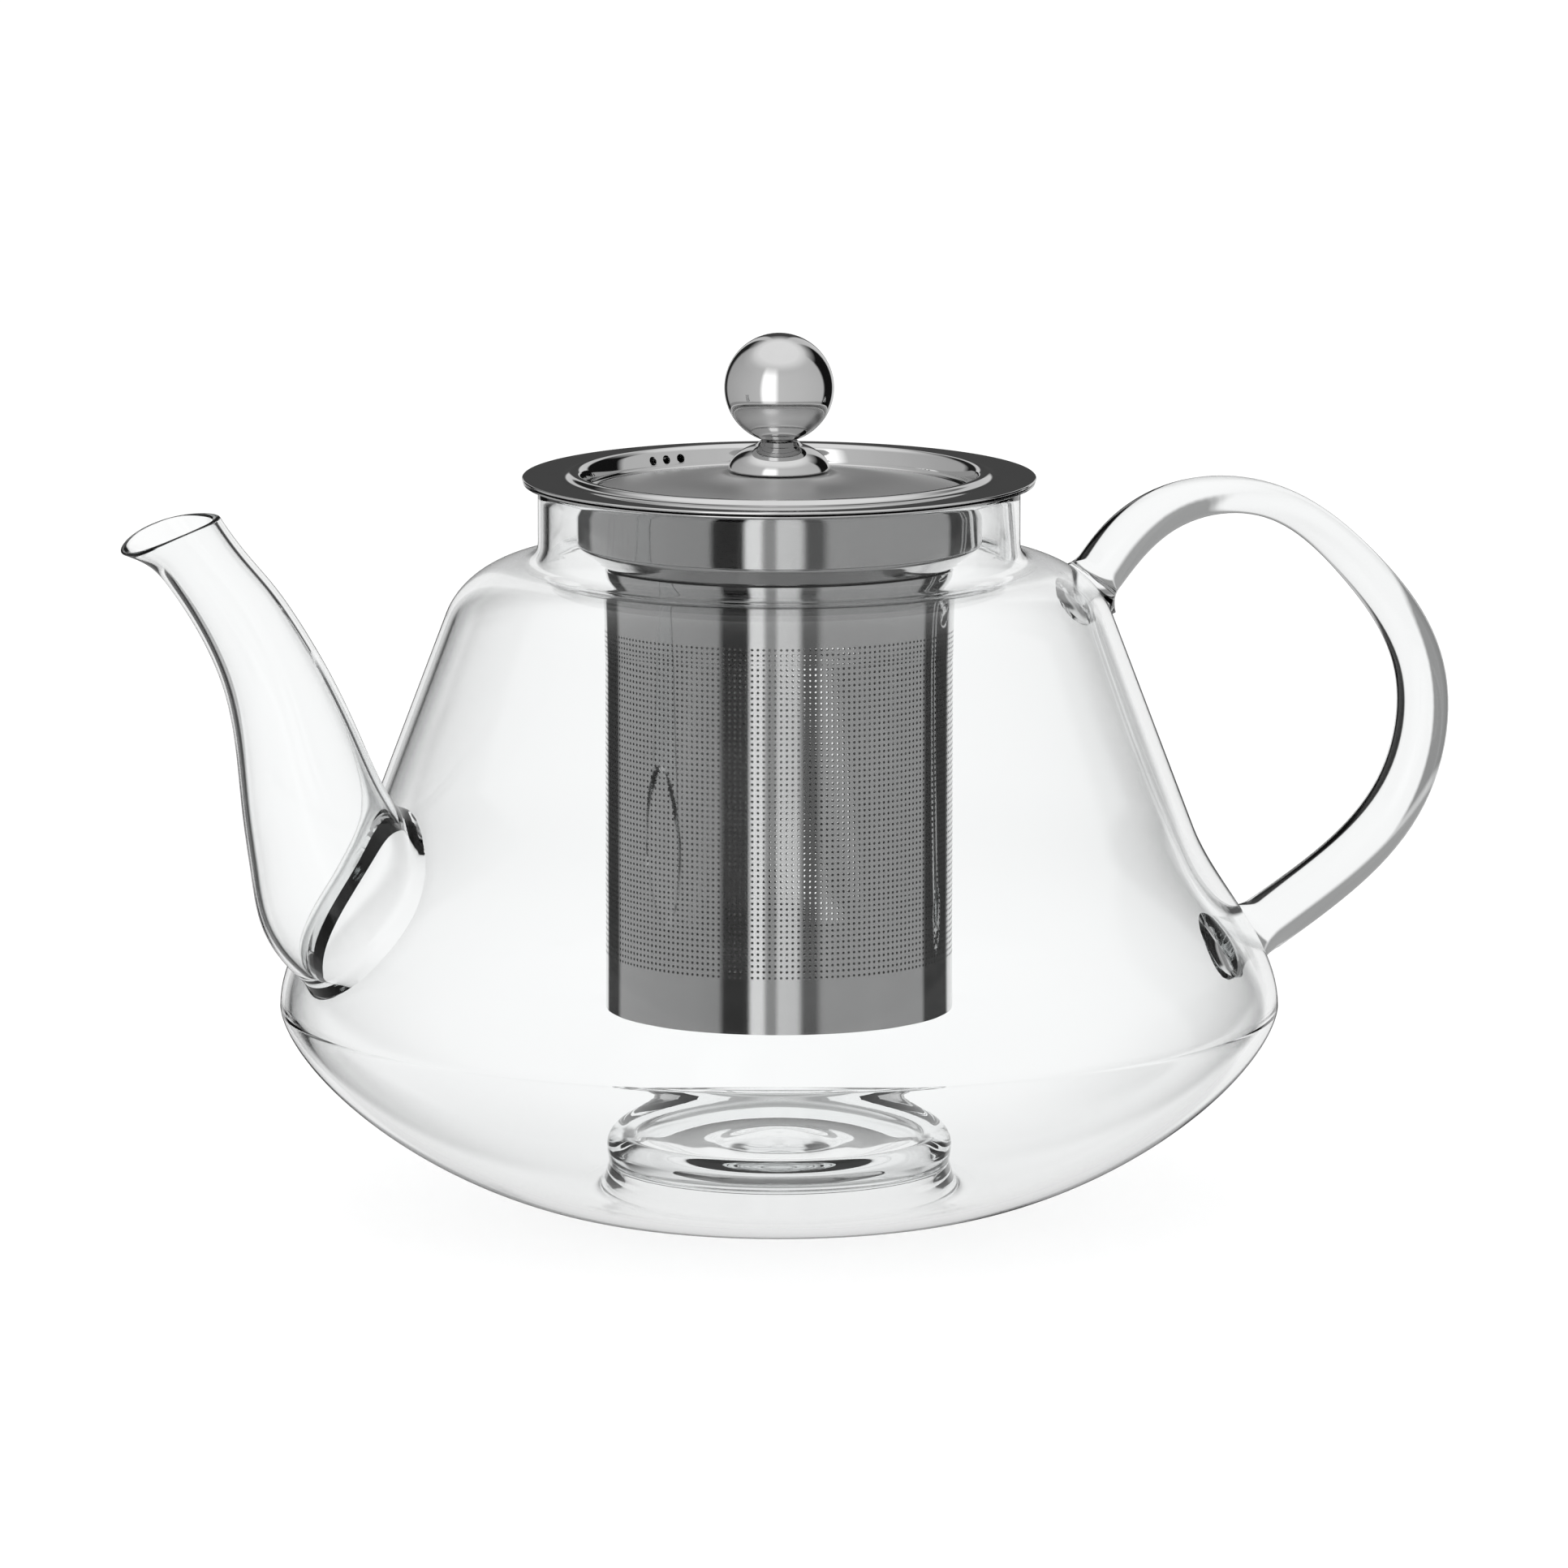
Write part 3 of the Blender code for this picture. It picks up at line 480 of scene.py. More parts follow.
def spout_rings(steps, wall, beyond):
    """Rings of the spout's outer surface, or of its bore where wall is more than zero."""
    rows = spout_rows(10)
    lip = SPOUT_WALL / 2
    end = rows[-1]
    before = rows[-6]
    step = math.hypot(end[0] - before[0], end[1] - before[1])
    rings = []
    for i, row in enumerate(rows[:-2]):
        share = max(0.0, i / (len(rows) - 1) - 0.9) / 0.1
        rings.append(spout_ring(row, -wall, 0.9 * MM * share**2, steps))
    for k in range(7):
        angle = math.pi / 2 * k / 6
        back = lip * (1 - math.sin(angle))
        pull = lip * (1 - math.cos(angle))
        row = tuple(between(a, b, back / step) for a, b in zip(end, before))
        rings.append(spout_ring(row, -wall + (pull if wall else -pull), 0.9 * MM, steps))
    if beyond:
        last, second = rings[-1], rings[-9]
        move = [sum(p[i] - q[i] for p, q in zip(last, second)) / steps for i in range(3)]
        rings.append([tuple(p[i] + move[i] * 3 for i in range(3)) for p in last])
    return rings


def handle_rows(fine):
    """Centre, half thickness and half width of the handle's rod along its length, in metres."""
    upper = (body_radius(UPPER_JOINT_Z), UPPER_JOINT_Z)
    lower = (body_radius(LOWER_JOINT_Z), LOWER_JOINT_Z)
    rows = []
    for i, (share, reach, rise, half) in enumerate(HANDLE_ROWS):
        x = between(upper[0], lower[0], share) + reach * MM
        z = between(upper[1], lower[1], share) + rise * MM
        end = i in (0, len(HANDLE_ROWS) - 1)
        rows.append((x, z, half * HANDLE_SLIM * MM, HANDLE_END_WIDTH if end else HANDLE_HALF_WIDTH))
    return spline(rows, fine)


def rod_ring(centre, heading, half, width, steps):
    """An oval section of the rod, square to its heading."""
    length = math.hypot(*heading)
    along = (-heading[1] / length, heading[0] / length)
    ring = []
    for k in range(steps):
        angle = math.tau * k / steps
        a = math.cos(angle) * half
        b = math.sin(angle) * width
        ring.append((centre[0] + along[0] * a, b, centre[1] + along[1] * a))
    return ring


def root_rings(end, second, joint_z, steps):
    """Rings from a handle's end down into the body's wall, flaring on the way."""
    x, z, half, width = end
    heading = (x - second[0], z - second[1])
    joint = (body_radius(joint_z), joint_z)
    inside = (joint[0] - 1.5 * GLASS_WALL, joint[1] + (joint[1] - z) * 0.3)
    rings = []
    for k in range(1, 13):
        share = k / 12
        flare = 1 + 0.5 * share**2.2
        centre = (between(x, joint[0], share), between(z, joint[1], share))
        rings.append(rod_ring(centre, heading, half * flare, width * flare, steps))
    rings.append(rod_ring(inside, heading, half * 1.5, width * 1.5, steps))
    return rings


def handle_rings(steps):
    rows = handle_rows(12)
    last = len(rows) - 1
    rings = []
    for i, (x, z, half, width) in enumerate(rows):
        before, after = rows[max(i - 1, 0)], rows[min(i + 1, last)]
        rings.append(rod_ring((x, z), (after[0] - before[0], after[1] - before[1]), half, width, steps))
    upper = root_rings(rows[0], rows[1], UPPER_JOINT_Z, steps)
    lower = root_rings(rows[-1], rows[-2], LOWER_JOINT_Z, steps)
    return flip(upper) + rings + lower


def flip(rings):
    """Rings that head back the other way, turned so their points line up with the handle's."""
    count = len(rings[0])
    turned = []
    for ring in reversed(rings):
        turned.append([ring[(count // 2 - k) % count] for k in range(count)])
    return turned


def mid_wall(name):
    """The space inside the middle of the glass wall."""
    outside = offset(outside_outline(), GLASS_WALL / 2)
    top = (0.0, NECK_TOP_Z)
    return turn(name, [top] + list(reversed(outside)) + [(0.0, 0.0)], ROUND_STEPS)


def build_vessel():
    """The body with the spout and the handle fused on, and the spout's bore open to the inside."""
    vessel = turn("vessel_glass", body_section(), FINE_STEPS)
    spout = loft("spout_solid", spout_rings(SPOUT_STEPS, 0.0, False))
    boolean(spout, mid_wall("spout_root"), "DIFFERENCE")
    boolean(vessel, spout, "UNION")
    handle = loft("handle_solid", handle_rings(HANDLE_STEPS))
    boolean(handle, mid_wall("handle_root"), "DIFFERENCE")
    boolean(vessel, handle, "UNION")
    boolean(vessel, loft("spout_bore", spout_rings(SPOUT_STEPS, SPOUT_WALL, True)), "DIFFERENCE")
    finish_shading(vessel, GLASS_SMOOTH_ANGLE)
    return vessel


# --------------------------------------------------------------------------------------- infuser


def collar_outline():
    """Flange with a rolled edge, the drawn collar, the step and the skirt, in one sheet."""
    corner = 1.6 * MM
    top = FLANGE_Z + FLANGE_ROLL
    roll = FLANGE_ROLL / 2
    skirt = BASKET_R - SHEET - GAP
    outer = arc((FLANGE_R - roll, FLANGE_Z + roll), roll, 90, -90, 6)
    outer += arc((COLLAR_R + corner, FLANGE_Z - corner), corner, 90, 180, 10)
    low = (COLLAR_R, COLLAR_Z)
    step = (skirt, STEP_Z)
    collar_end = (COLLAR_R, COLLAR_Z + 0.8 * MM)
    cone_start = (COLLAR_R - 0.8 * MM, COLLAR_Z - 0.65 * MM)
    cone_end = (skirt + 0.8 * MM, STEP_Z + 0.65 * MM)
    outer += bezier(collar_end, low, low, cone_start, 6)
    outer += bezier(cone_end, step, step, (skirt, STEP_Z - 0.8 * MM), 6)
    outer.append((skirt, STEP_Z - SKIRT_HEIGHT))
    inner = [(skirt - SHEET, STEP_Z - SKIRT_HEIGHT)]
    inner += [(skirt - SHEET, STEP_Z - 0.6 * MM), (skirt + 0.4 * MM, STEP_Z + 0.75 * MM)]
    inner += [(COLLAR_R - 1.3 * MM, COLLAR_Z - 0.5 * MM), (COLLAR_R - SHEET, COLLAR_Z + 0.8 * MM)]
    inner += arc((COLLAR_R + corner, top - corner - SHEET), corner + SHEET, 180, 90, 10)
    return outer + inner


def basket_levels():
    """Heights of the tube's rows: two plain ones, the rows of holes, and two plain ones."""
    levels = [BASKET_TOP_Z, between(BASKET_TOP_Z, HOLES_TOP_Z, 0.5), HOLES_TOP_Z + HOLE_PITCH / 2]
    levels += [HOLES_TOP_Z - HOLE_PITCH * (i + 0.5) for i in range(HOLE_ROWS)]
    return levels + [between(levels[-1], BASKET_LOW_Z, 0.5), BASKET_LOW_Z]


def on_tube(radius, angle, z):
    return (AXIS_X + radius * math.cos(angle), radius * math.sin(angle), z)


def hole_rim(radius, angle, z):
    """Points round a hole in the tube, from the corner at the upper right of its cell."""
    rim = []
    for n in range(HOLE_CORNERS):
        turned = math.tau * (n + 0.5) / HOLE_CORNERS
        swing = HOLE_R * math.cos(turned) / BASKET_R
        rim.append(on_tube(radius, angle + swing, z + HOLE_R * math.sin(turned)))
    return rim


def sheet_round_hole(corners, rim):
    """Faces that fill a cell of the sheet between its four corners and a hole's rim."""
    a, b, c, d = corners
    faces = [(b, rim[0], rim[1]), (a, rim[2], rim[3]), (d, rim[4], rim[5]), (c, rim[6], rim[7])]
    faces += [(b, rim[1], rim[2], a), (a, rim[3], rim[4], d), (d, rim[5], rim[6], c)]
    return faces + [(c, rim[7], rim[0], b)]


def perforated_wall():
    """The basket's tube: sheet with a square grid of real holes between two plain bands."""
    cols = round(math.tau * BASKET_R / HOLE_PITCH)
    step = math.tau / cols
    radii = (BASKET_R, BASKET_R - SHEET)
    levels = basket_levels()
    first, last = 2, 2 + HOLE_ROWS
    verts, faces = [], []
    grid = {}
    for side, r in enumerate(radii):
        for i, z in enumerate(levels):
            for k in range(cols):
                grid[side, i, k] = len(verts)
                verts.append(on_tube(r, step * k, z))
    for i in range(len(levels) - 1):
        middle = (levels[i] + levels[i + 1]) / 2
        for k in range(cols):
            n = (k + 1) % cols
            rims = []
            for side, r in enumerate(radii):
                corners = (grid[side, i, k], grid[side, i, n], grid[side, i + 1, n], grid[side, i + 1, k])
                if not first <= i < last:
                    faces.append(corners)
                    continue
                rim = list(range(len(verts), len(verts) + HOLE_CORNERS))
                verts += hole_rim(r, step * (k + 0.5), middle)
                faces += sheet_round_hole(corners, rim)
                rims.append(rim)
            for outer, inner in zip(rims, rims[1:]):
                for t in range(HOLE_CORNERS):
                    s = (t + 1) % HOLE_CORNERS
                    faces.append((outer[t], outer[s], inner[s], inner[t]))
    for i in (0, len(levels) - 1):
        for k in range(cols):
            n = (k + 1) % cols
            faces.append((grid[0, i, k], grid[0, i, n], grid[1, i, n], grid[1, i, k]))
    return add_mesh("basket_mesh", verts, faces)


def basket_cup_outline():
    """A shallow cup, its wall inside the tube and its floor at the tube's lower end."""
    outer = BASKET_R - SHEET - GAP
    low = BASKET_LOW_Z
    top = low + 3.0 * MM
    outline = [(0.0, low + SHEET), (outer - 2.4 * SHEET, low + SHEET)]
    outline += arc((outer - 1.9 * SHEET, low + 1.9 * SHEET), 0.9 * SHEET, 270, 360, 5)
    outline += [(outer - SHEET, top), (outer, top), (outer, low + 1.9 * SHEET)]
    outline += arc((outer - 1.9 * SHEET, low + 1.9 * SHEET), 1.9 * SHEET, 0, -90, 6)
    outline.append((0.0, low))
    return outline


# ------------------------------------------------------------------------------------------- lid


def lid_outline():
    """The pressed sheet: a raised seat, a cone down to the recess, the bead and the flange."""
    floor_r = RECESS_R - 1.2 * MM
    fall = SEAT_Z - LID_FLOOR_Z
    top = [(SHANK_BORE_R, SEAT_Z), (SEAT_R - 0.6 * MM, SEAT_Z), (SEAT_R + 0.5 * MM, SEAT_Z - fall * 0.04)]
    top += [(SEAT_R + 1.4 * MM, SEAT_Z - fall * 0.12), (between(SEAT_R, floor_r, 0.4), SEAT_Z - fall * 0.42)]
    top += [(between(SEAT_R, floor_r, 0.8), SEAT_Z - fall * 0.83), (floor_r, LID_FLOOR_Z)]
    top = spline(top, 4)
    wall_r = RECESS_R - 0.1 * MM
    low = (RECESS_R - 0.3 * MM, LID_FLOOR_Z)
    top += bezier(top[-1], low, (wall_r, LID_FLOOR_Z), (wall_r, LID_FLOOR_Z + 1.2 * MM), 6)
    bead = 1.5 * MM
    top += arc((BEAD_R, LID_TOP_Z + 1.0 * MM - bead), bead, 165, 48, 14)
    toe = (BEAD_R + 1.6 * MM, LID_TOP_Z + 0.1 * MM)
    top += bezier(top[-1], toe, (BEAD_R + 2.2 * MM, LID_TOP_Z), (BEAD_R + 3.2 * MM, LID_TOP_Z), 8)
    top += [(BEAD_R + 5.0 * MM, LID_TOP_Z), (LID_R - 1.0 * MM, LID_TOP_Z)]
    under = offset(top, -SHEET)
    under[0] = (SHANK_BORE_R, SEAT_Z - SHEET)
    under[-1] = (LID_R - 1.0 * MM, LID_Z)
    edge = arc((LID_R - SHEET / 2, LID_Z + SHEET / 2), SHEET / 2, 90, -90, 6)
    return top + edge + list(reversed(under))


def ball_outline():
    """A ball with a flat underside and a drilled, pointed hole for the screw."""
    centre = BALL_FLAT_Z + math.sqrt(BALL_R**2 - BALL_FLAT_R**2)
    start = math.degrees(math.asin((BALL_FLAT_Z - centre) / BALL_R))
    outline = arc((0.0, centre), BALL_R, 90, start, 64)
    outline[0] = (0.0, centre + BALL_R)
    outline += [(SHANK_BORE_R, BALL_FLAT_Z), (SHANK_BORE_R, BALL_FLAT_Z + 9.0 * MM)]
    return outline + [(0.0, BALL_FLAT_Z + 10.0 * MM)]


def foot_outline():
    """A dome cut flat on top, with a small bevel round both of its flats."""
    low = SEAT_Z + GAP
    top = low + KNOB_FOOT_HEIGHT
    dome = KNOB_FOOT_HEIGHT - 0.1 * MM
    outline = [(SHANK_BORE_R, top), (BALL_FLAT_R, top), (BALL_FLAT_R + 0.2 * MM, top - 0.15 * MM)]
    for k in range(1, 24):
        share = math.cos(math.radians(24 + 66 * k / 24))
        outline.append((KNOB_FOOT_R * math.sqrt(1 - share**2), low + dome * share))
    outline += [(KNOB_FOOT_R, low + 0.25 * MM), (KNOB_FOOT_R - 0.2 * MM, low), (SHANK_BORE_R, low)]
    return outline


def screw_outline():
    """A plain shank with a bevelled tip, over a domed head."""
    bevel = 0.2 * MM
    top = SEAT_Z + 14.0 * MM
    low = SCREW_HEAD_Z - 2.6 * MM
    outline = [(0.0, top), (SHANK_R - 2 * bevel, top), (SHANK_R, top - 2 * bevel), (SHANK_R, SCREW_HEAD_Z)]
    outline += [(3.8 * MM, SCREW_HEAD_Z), (4.0 * MM, SCREW_HEAD_Z - bevel)]
    outline += arc((1.4 * MM, SCREW_HEAD_Z - 2 * bevel), 2.4 * MM, -5, -72, 8)
    outline[-1] = (SHANK_R, low)
    outline.append((0.0, low))
    return outline


def washer_outline():
    bevel = 0.2 * MM
    top = SEAT_Z - SHEET - GAP
    low = top - WASHER_HEIGHT
    outline = arc((WASHER_R - bevel, top - bevel), bevel, 90, 0, 3)
    outline += arc((WASHER_R - bevel, low + bevel), bevel, 0, -90, 3)
    return outline + [(SHANK_BORE_R, low), (SHANK_BORE_R, top)]


def build_lid_sheet():
    """The lid's sheet with its small vents drilled through the wall of the recess."""
    pan = turn("lid_sheet", lid_outline(), FINE_STEPS)
    for angle in VENT_ANGLES:
        way = math.radians(angle)
        bpy.ops.mesh.primitive_cylinder_add(vertices=20, radius=VENT_R, depth=4 * MM)
        drill = bpy.context.object
        drill.rotation_euler = (0.0, math.pi / 2, way)
        height = between(LID_FLOOR_Z, LID_TOP_Z, 0.62)
        drill.location = (AXIS_X + RECESS_R * math.cos(way), RECESS_R * math.sin(way), height)
        boolean(pan, drill, "DIFFERENCE")
    finish_shading(pan)
    return pan


def build_screw():
    screw = turn("lid_screw", screw_outline(), SCREW_STEPS)
    bpy.ops.mesh.primitive_cube_add(size=1.0)
    slot = bpy.context.object
    slot.scale = (10 * MM, SLOT_WIDTH, 2.6 * MM)
    slot.location = (AXIS_X, 0.0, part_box("knob_screw")[0][2])
    boolean(screw, slot, "DIFFERENCE")
    finish_shading(screw)
    return screw


# ------------------------------------------------------------------------------------- materials


class Nodes:
    """Short calls for building a node tree."""

    def __init__(self, tree):
        self.tree = tree

    def add(self, kind, **values):
        node = self.tree.nodes.new(kind)
        for key, value in values.items():
            setattr(node, key, value)
        return node

    def link(self, source, target):
        self.tree.links.new(source, target)

    def math(self, operation, a, b=0.0):
        node = self.add("ShaderNodeMath", operation=operation)
        for socket, value in zip(node.inputs, (a, b)):
            if isinstance(value, (int, float)):
                socket.default_value = value
            else:
                self.link(value, socket)
        return node.outputs[0]

    def ramp(self, source, stops):
        node = self.add("ShaderNodeValToRGB")
        elements = node.color_ramp.elements
        while len(elements) > 1:
            elements.remove(elements[-1])
        for i, (place, value) in enumerate(stops):
            element = elements[0] if i == 0 else elements.new(place)
            element.position = place
            element.color = (value, value, value, 1.0)
        self.link(source, node.inputs["Fac"])
        return node.outputs["Color"]

    def mix(self, factor, a, b):
        node = self.add("ShaderNodeMix", data_type="RGBA")
        self.link(factor, node.inputs["Factor"])
        for socket, value in ((node.inputs[6], a), (node.inputs[7], b)):
            if isinstance(value, (int, float)):
                socket.default_value = (value, value, value, 1.0)
            else:
                self.link(value, socket)
        return node.outputs[2]

    def noise(self, vector, scale, detail=2.0, roughness=0.5):
        node = self.add("ShaderNodeTexNoise")
        node.inputs["Scale"].default_value = scale
        node.inputs["Detail"].default_value = detail
        node.inputs["Roughness"].default_value = roughness
        self.link(vector, node.inputs["Vector"])
        return node.outputs["Fac"]

    def stretch(self, vector, scale):
        node = self.add("ShaderNodeMapping")
        node.inputs["Scale"].default_value = scale
        self.link(vector, node.inputs["Vector"])
        return node.outputs["Vector"]

    def bump(self, height, strength, distance):
        node = self.add("ShaderNodeBump")
        node.inputs["Strength"].default_value = strength
        node.inputs["Distance"].default_value = distance
        self.link(height, node.inputs["Height"])
        return node.outputs["Normal"]

    def spread(self, value, low, high):
        node = self.add("ShaderNodeMapRange")
        node.inputs["To Min"].default_value = low
        node.inputs["To Max"].default_value = high
        self.link(value, node.inputs["Value"])
        return node.outputs["Result"]


def new_material(name):
    material = bpy.data.materials.new(name)
    material.use_nodes = True
    nodes = Nodes(material.node_tree)
    shader = material.node_tree.nodes["Principled BSDF"]
    place = nodes.add("ShaderNodeTexCoord").outputs["Object"]
    return material, nodes, shader, place


def clear_glass():
    """Blown borosilicate: hardly any tint, and the faint waviness of hand-worked glass."""
    material, nodes, shader, place = new_material("clear_glass")
    shader.inputs["Base Color"].default_value = (0.985, 0.99, 0.99, 1.0)
    shader.inputs["Roughness"].default_value = 0.0
    shader.inputs["IOR"].default_value = 1.47
    shader.inputs["Transmission Weight"].default_value = 1.0
    shader.inputs["Specular Tint"].default_value = (0.4, 0.4, 0.4, 1.0)
    wave = nodes.noise(nodes.stretch(place, (1.0, 1.0, 0.6)), 28.0, 1.0)
    nodes.link(nodes.bump(wave, 0.10, 0.5 * MM), shader.inputs["Normal"])
    absorb = nodes.add("ShaderNodeVolumeAbsorption")
    absorb.inputs["Color"].default_value = (0.55, 0.58, 0.58, 1.0)
    absorb.inputs["Density"].default_value = 12.0
    output = material.node_tree.nodes["Material Output"]
    nodes.link(absorb.outputs["Volume"], output.inputs["Volume"])
    return material


def satin_inside(nodes, place, radius, satin, polished):
    """Roughness that is satin up to a radius about the body's axis and polished beyond it."""
    flat = nodes.add("ShaderNodeVectorMath", operation="MULTIPLY")
    nodes.link(place, flat.inputs[0])
    flat.inputs[1].default_value = (1.0, 1.0, 0.0)
    centred = nodes.add("ShaderNodeVectorMath", operation="SUBTRACT")
    nodes.link(flat.outputs["Vector"], centred.inputs[0])
    centred.inputs[1].default_value = (AXIS_X, 0.0, 0.0)
    length = nodes.add("ShaderNodeVectorMath", operation="LENGTH")
    nodes.link(centred.outputs["Vector"], length.inputs[0])
    choice = nodes.add("ShaderNodeMix", data_type="FLOAT")
    nodes.link(nodes.math("GREATER_THAN", length.outputs["Value"], radius), choice.inputs["Factor"])
    choice.inputs["A"].default_value = satin
    nodes.link(polished, choice.inputs["B"])
    return choice.outputs["Result"]


def steel(name, colour, low, high, streak, wave, satin=0.0, satin_r=0.0):
    """Stainless steel: fine drawn streaks, small scratches and a slight waviness in the sheet."""
    material, nodes, shader, place = new_material(name)
    shader.inputs["Metallic"].default_value = 1.0
    streaks = nodes.noise(nodes.stretch(place, streak), 120.0, 4.0, 0.6)
    cloud = nodes.noise(place, 60.0, 3.0)
    tone = nodes.add("ShaderNodeMix", data_type="RGBA")
    tone.inputs[6].default_value = (*[c * 0.93 for c in colour], 1.0)
    tone.inputs[7].default_value = (*[c * 1.04 for c in colour], 1.0)
    nodes.link(streaks, tone.inputs["Factor"])
    nodes.link(tone.outputs[2], shader.inputs["Base Color"])
    mixed = nodes.math("MULTIPLY", streaks, cloud)
    rough = nodes.spread(mixed, low, high)
    if satin:
        rough = satin_inside(nodes, place, satin_r, satin, rough)
    nodes.link(rough, shader.inputs["Roughness"])
    ripple = nodes.noise(place, wave[0], 1.0)
    nodes.link(nodes.bump(ripple, wave[1], 0.3 * MM), shader.inputs["Normal"])
    return material


# ------------------------------------------------------------------------------ studio and camera

def azimuth_stops(pairs):
    """Stops for a ramp that runs from 180 degrees left of the camera's side round to the right."""
    return [((angle + 180) / 360, value) for angle, value in pairs]


def elevation_stops(pairs):
    """Stops for a ramp that runs from straight down to straight up."""
    return [((angle + 90) / 180, value) for angle, value in pairs]


def look_directions(nodes):
    """The way a ray looks: its azimuth about the camera's side and its height, both from 0 to 1."""
    way = nodes.add("ShaderNodeTexCoord").outputs["Generated"]
    a = math.radians(CAMERA_AZIMUTH)
    right = nodes.add("ShaderNodeVectorMath", operation="DOT_PRODUCT")
    nodes.link(way, right.inputs[0])
    right.inputs[1].default_value = (math.cos(a), math.sin(a), 0.0)
    back = nodes.add("ShaderNodeVectorMath", operation="DOT_PRODUCT")
    nodes.link(way, back.inputs[0])
    back.inputs[1].default_value = (math.sin(a), -math.cos(a), 0.0)
    parts = nodes.add("ShaderNodeSeparateXYZ")
    nodes.link(way, parts.inputs[0])
    turned = nodes.math("ARCTAN2", right.outputs["Value"], back.outputs["Value"])
    azimuth = nodes.math("ADD", nodes.math("DIVIDE", turned, math.tau), 0.5)
    lifted = nodes.math("ARCSINE", parts.outputs["Z"])
    return azimuth, nodes.math("ADD", nodes.math("DIVIDE", lifted, math.pi), 0.5)


def reflected_inside(nodes, azimuth, height):
    """What steel inside the glass reflects."""
    ring = nodes.ramp(azimuth, azimuth_stops((
        (-180, 1.0), (-162, 1.0), (-157, 0.02), (-136, 0.02), (-130, 0.48), (-60, 0.42), (-41, 0.38),
        (-37, 0.0), (-21, 0.0), (-18, 1.2), (-11, 1.2), (-8, 0.40), (-3, 0.40), (0, 0.95), (12, 0.88),
        (16, 0.14), (24, 0.14), (29, 0.46), (110, 0.44), (114, 0.02), (147, 0.02), (153, 1.0), (180, 1.0))))
    sky = nodes.ramp(height, elevation_stops(((-90, 0.35), (20, 0.5), (50, 0.9), (90, 0.9))))
    steep = nodes.ramp(height, elevation_stops(((-90, 1.0), (-60, 1.0), (-40, 0.0), (15, 0.0), (40, 1.0))))
    return nodes.mix(steep, ring, sky)


def reflected_outside(nodes, azimuth, height):
    """What the lid, the knob and the outer surface of the glass reflect."""
    ring = nodes.ramp(azimuth, azimuth_stops((
        (-180, 0.07), (-172, 0.07), (-170, 0.7), (-163, 0.7), (-161, 0.02), (-146, 0.02), (-138, 0.50),
        (-42, 0.74), (-34, 1.8), (-10, 1.8), (0, 0.80), (106, 0.66), (112, 0.01), (148, 0.01), (152, 0.75),
        (168, 0.75), (171, 0.07), (180, 0.07))))
    sky = nodes.ramp(height, elevation_stops((
        (-90, 0.30), (-60, 0.30), (-40, 0.42), (-24, 0.42), (-22, 0.74), (20, 0.7), (40, 0.72), (60, 1.1),
        (90, 1.1))))
    steep = nodes.ramp(height, elevation_stops(((-90, 1.0), (-25, 1.0), (-20, 0.0), (30, 0.0), (50, 1.0))))
    return nodes.mix(steep, ring, sky)


def seen_through_glass(nodes, azimuth, height):
    """What is seen straight through the glass: a pale room with dark strips at its sides."""
    pale = 0.95
    strips = [(-180, 1.02), (-160, 1.0), (-156, 0.30), (-118, 0.30), (-114, pale)]
    dark = ((-90, 8, 0.10), (-45, 8, 0.10), (45, 8, 0.10), (90, 10, 0.10), (140, 13, 0.0))
    for middle, half, value in dark:
        edge = half + 2
        strips += [(middle - edge, pale), (middle - half, value)]
        strips += [(middle + half, value), (middle + edge, pale)]
    strips += [(160, 1.0), (180, 1.02)]
    ring = nodes.ramp(azimuth, azimuth_stops(strips))
    level = nodes.ramp(height, elevation_stops(((-90, 1.0), (6, 1.0), (12, 0.0))))
    sky = nodes.ramp(height, elevation_stops(((-90, 1.0), (8, 1.0), (14, 0.34), (44, 0.34), (56, pale))))
    return nodes.mix(level, sky, ring)


def build_world():
    """A studio that shows each kind of ray what the photograph's surroundings show it."""
    world = bpy.data.worlds.new("studio")
    bpy.context.scene.world = world
    world.use_nodes = True
    nodes = Nodes(world.node_tree)
    azimuth, height = look_directions(nodes)
    inside = reflected_inside(nodes, azimuth, height)
    outside = reflected_outside(nodes, azimuth, height)
    through = seen_through_glass(nodes, azimuth, height)

    path = nodes.add("ShaderNodeLightPath")
    glossy = nodes.math("GREATER_THAN", path.outputs["Glossy Depth"], 0.5)
    behind_glass = nodes.math("GREATER_THAN", path.outputs["Transmission Depth"], 0.5)
    reflected = nodes.mix(behind_glass, outside, inside)
    seen = nodes.mix(behind_glass, 1.0, through)
    lighting = nodes.math("GREATER_THAN", path.outputs["Diffuse Depth"], 0.5)
    seen = nodes.mix(lighting, seen, 1.25)
    background = world.node_tree.nodes["Background"]
    nodes.link(nodes.mix(glossy, seen, reflected), background.inputs["Color"])


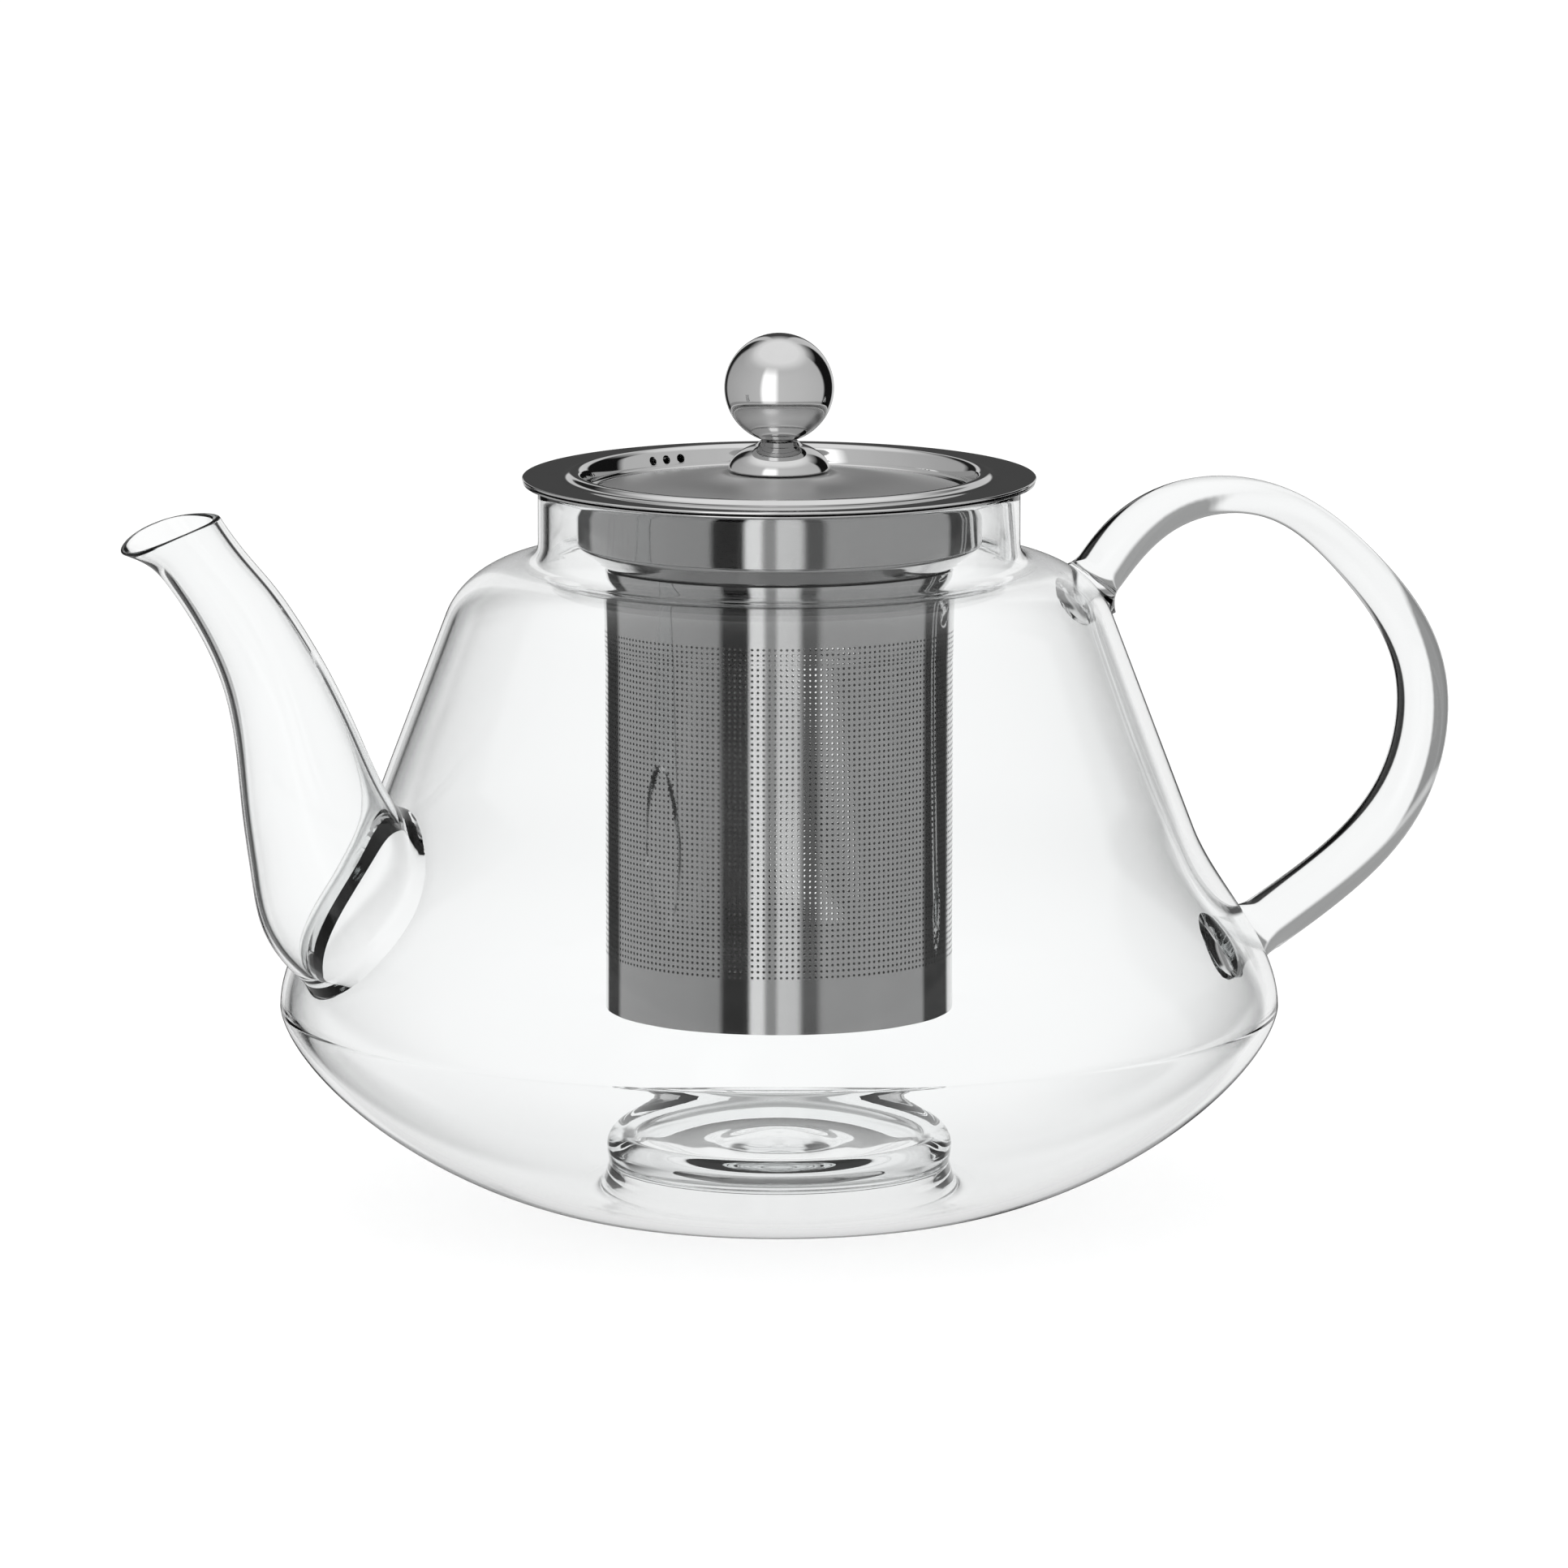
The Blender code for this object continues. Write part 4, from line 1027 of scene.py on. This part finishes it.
def build_floor():
    """A pale floor that only the camera and diffuse light meet: reflected and bent rays pass it."""
    reach = FLOOR_REACH
    verts = [(-reach, -reach, 0), (reach, -reach, 0), (reach, reach, 0), (-reach, reach, 0)]
    mesh = bpy.data.meshes.new("floor")
    mesh.from_pydata(verts, [], [(0, 1, 2, 3)])
    floor = bpy.data.objects.new("floor", mesh)
    bpy.context.scene.collection.objects.link(floor)
    material = bpy.data.materials.new("pale_floor")
    material.use_nodes = True
    nodes = Nodes(material.node_tree)
    shader = material.node_tree.nodes["Principled BSDF"]
    shader.inputs["Base Color"].default_value = (FLOOR_GREY, FLOOR_GREY, FLOOR_GREY, 1.0)
    shader.inputs["Emission Color"].default_value = (1.0, 1.0, 1.0, 1.0)
    shader.inputs["Emission Strength"].default_value = FLOOR_GLOW
    shader.inputs["Roughness"].default_value = 1.0
    shader.inputs["Specular IOR Level"].default_value = 0.0
    clear = nodes.add("ShaderNodeBsdfTransparent")
    choice = nodes.add("ShaderNodeMixShader")
    path = nodes.add("ShaderNodeLightPath")
    turned_away = nodes.math("ADD", path.outputs["Glossy Depth"], path.outputs["Transmission Depth"])
    nodes.link(nodes.math("GREATER_THAN", turned_away, 0.5), choice.inputs[0])
    nodes.link(shader.outputs[0], choice.inputs[1])
    nodes.link(clear.outputs[0], choice.inputs[2])
    nodes.link(choice.outputs[0], material.node_tree.nodes["Material Output"].inputs["Surface"])
    mesh.materials.append(material)


def build_light():
    data = bpy.data.lights.new("overhead_softbox", "AREA")
    data.shape = "DISK"
    data.size = SOFTBOX_SIZE
    data.energy = SOFTBOX_POWER
    light = bpy.data.objects.new("overhead_softbox", data)
    light.location = (AXIS_X, 0.0, SOFTBOX_HEIGHT)
    bpy.context.scene.collection.objects.link(light)
    light.visible_glossy = False
    light.visible_transmission = False


def build_camera():
    data = bpy.data.cameras.new("camera")
    camera = bpy.data.objects.new("camera", data)
    bpy.context.scene.collection.objects.link(camera)
    bpy.context.scene.camera = camera
    a = math.radians(CAMERA_AZIMUTH)
    place = Vector((AXIS_X + CAMERA_DISTANCE * math.sin(a), -CAMERA_DISTANCE * math.cos(a), CAMERA_HEIGHT))
    aim = Vector((AXIS_X, 0.0, AIM_HEIGHT))
    camera.location = place
    camera.rotation_euler = (aim - place).to_track_quat("-Z", "Y").to_euler()
    data.sensor_width = 36.0
    data.lens = LENS
    data.shift_x = SHIFT_X
    data.shift_y = SHIFT_Y
    data.clip_start = 0.1
    data.clip_end = 60.0


# ------------------------------------------------------------------------------------------ main


def place_piece(obj, material, body, slot, *nodes):
    """Gives a piece its material, ties it to its body and hides the CAD nodes it replaces. Its slot is not
    used.
    """
    obj.data.materials.clear()
    obj.data.materials.append(material)
    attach(obj, body)
    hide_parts(*nodes)


glass = clear_glass()
even = (1.0, 1.0, 1.0)
upright = (1.0, 1.0, 0.04)
bright = (0.62, 0.62, 0.62)
mirror = steel("mirror_steel", bright, 0.02, 0.10, even, (35.0, 0.05))
pan_steel = steel("pan_steel", bright, 0.02, 0.08, even, (35.0, 0.04), 0.38, SATIN_R)
drawn = steel("drawn_steel", (0.56, 0.56, 0.56), 0.03, 0.14, upright, (30.0, 0.06))
plain = steel("fastener_steel", (0.55, 0.55, 0.54), 0.2, 0.4, even, (80.0, 0.1))

vessel_nodes = ("glass_body", "glass_spout", "spout_seam")
vessel_nodes += ("glass_handle", "handle_upper_gob", "handle_lower_gob")
place_piece(build_vessel(), glass, "vessel", "clear_glass", *vessel_nodes)
collar = turn("collar_sheet", collar_outline(), FINE_STEPS)
place_piece(collar, drawn, "infuser", "basket_steel", "infuser_collar")
place_piece(perforated_wall(), drawn, "infuser", "basket_steel", "infuser_basket_wall")
cup = turn("basket_cup", basket_cup_outline(), CUP_STEPS)
place_piece(cup, drawn, "infuser", "basket_steel", "infuser_basket_floor")
place_piece(build_lid_sheet(), pan_steel, "lid", "polished_steel", "lid_pan")
place_piece(turn("ball_knob", ball_outline(), ROUND_STEPS), mirror, "lid", "polished_steel", "knob_ball")
place_piece(turn("domed_foot", foot_outline(), ROUND_STEPS), mirror, "lid", "polished_steel", "knob_foot")
place_piece(build_screw(), plain, "lid", "fastener_steel", "knob_screw")
washer = turn("lid_washer", washer_outline(), SCREW_STEPS)
place_piece(washer, plain, "lid", "fastener_steel", "knob_washer")

build_world()
build_floor()
build_light()
build_camera()

scene = bpy.context.scene
scene.view_settings.view_transform = "Standard"
scene.view_settings.look = "None"
scene.cycles.max_bounces = 24
scene.cycles.transmission_bounces = 24
scene.cycles.glossy_bounces = 12
scene.cycles.transparent_max_bounces = 16
scene.cycles.caustics_reflective = False
scene.cycles.sample_clamp_indirect = 4.0
scene.cycles.blur_glossy = 0.0
scene.cycles.use_denoising = True
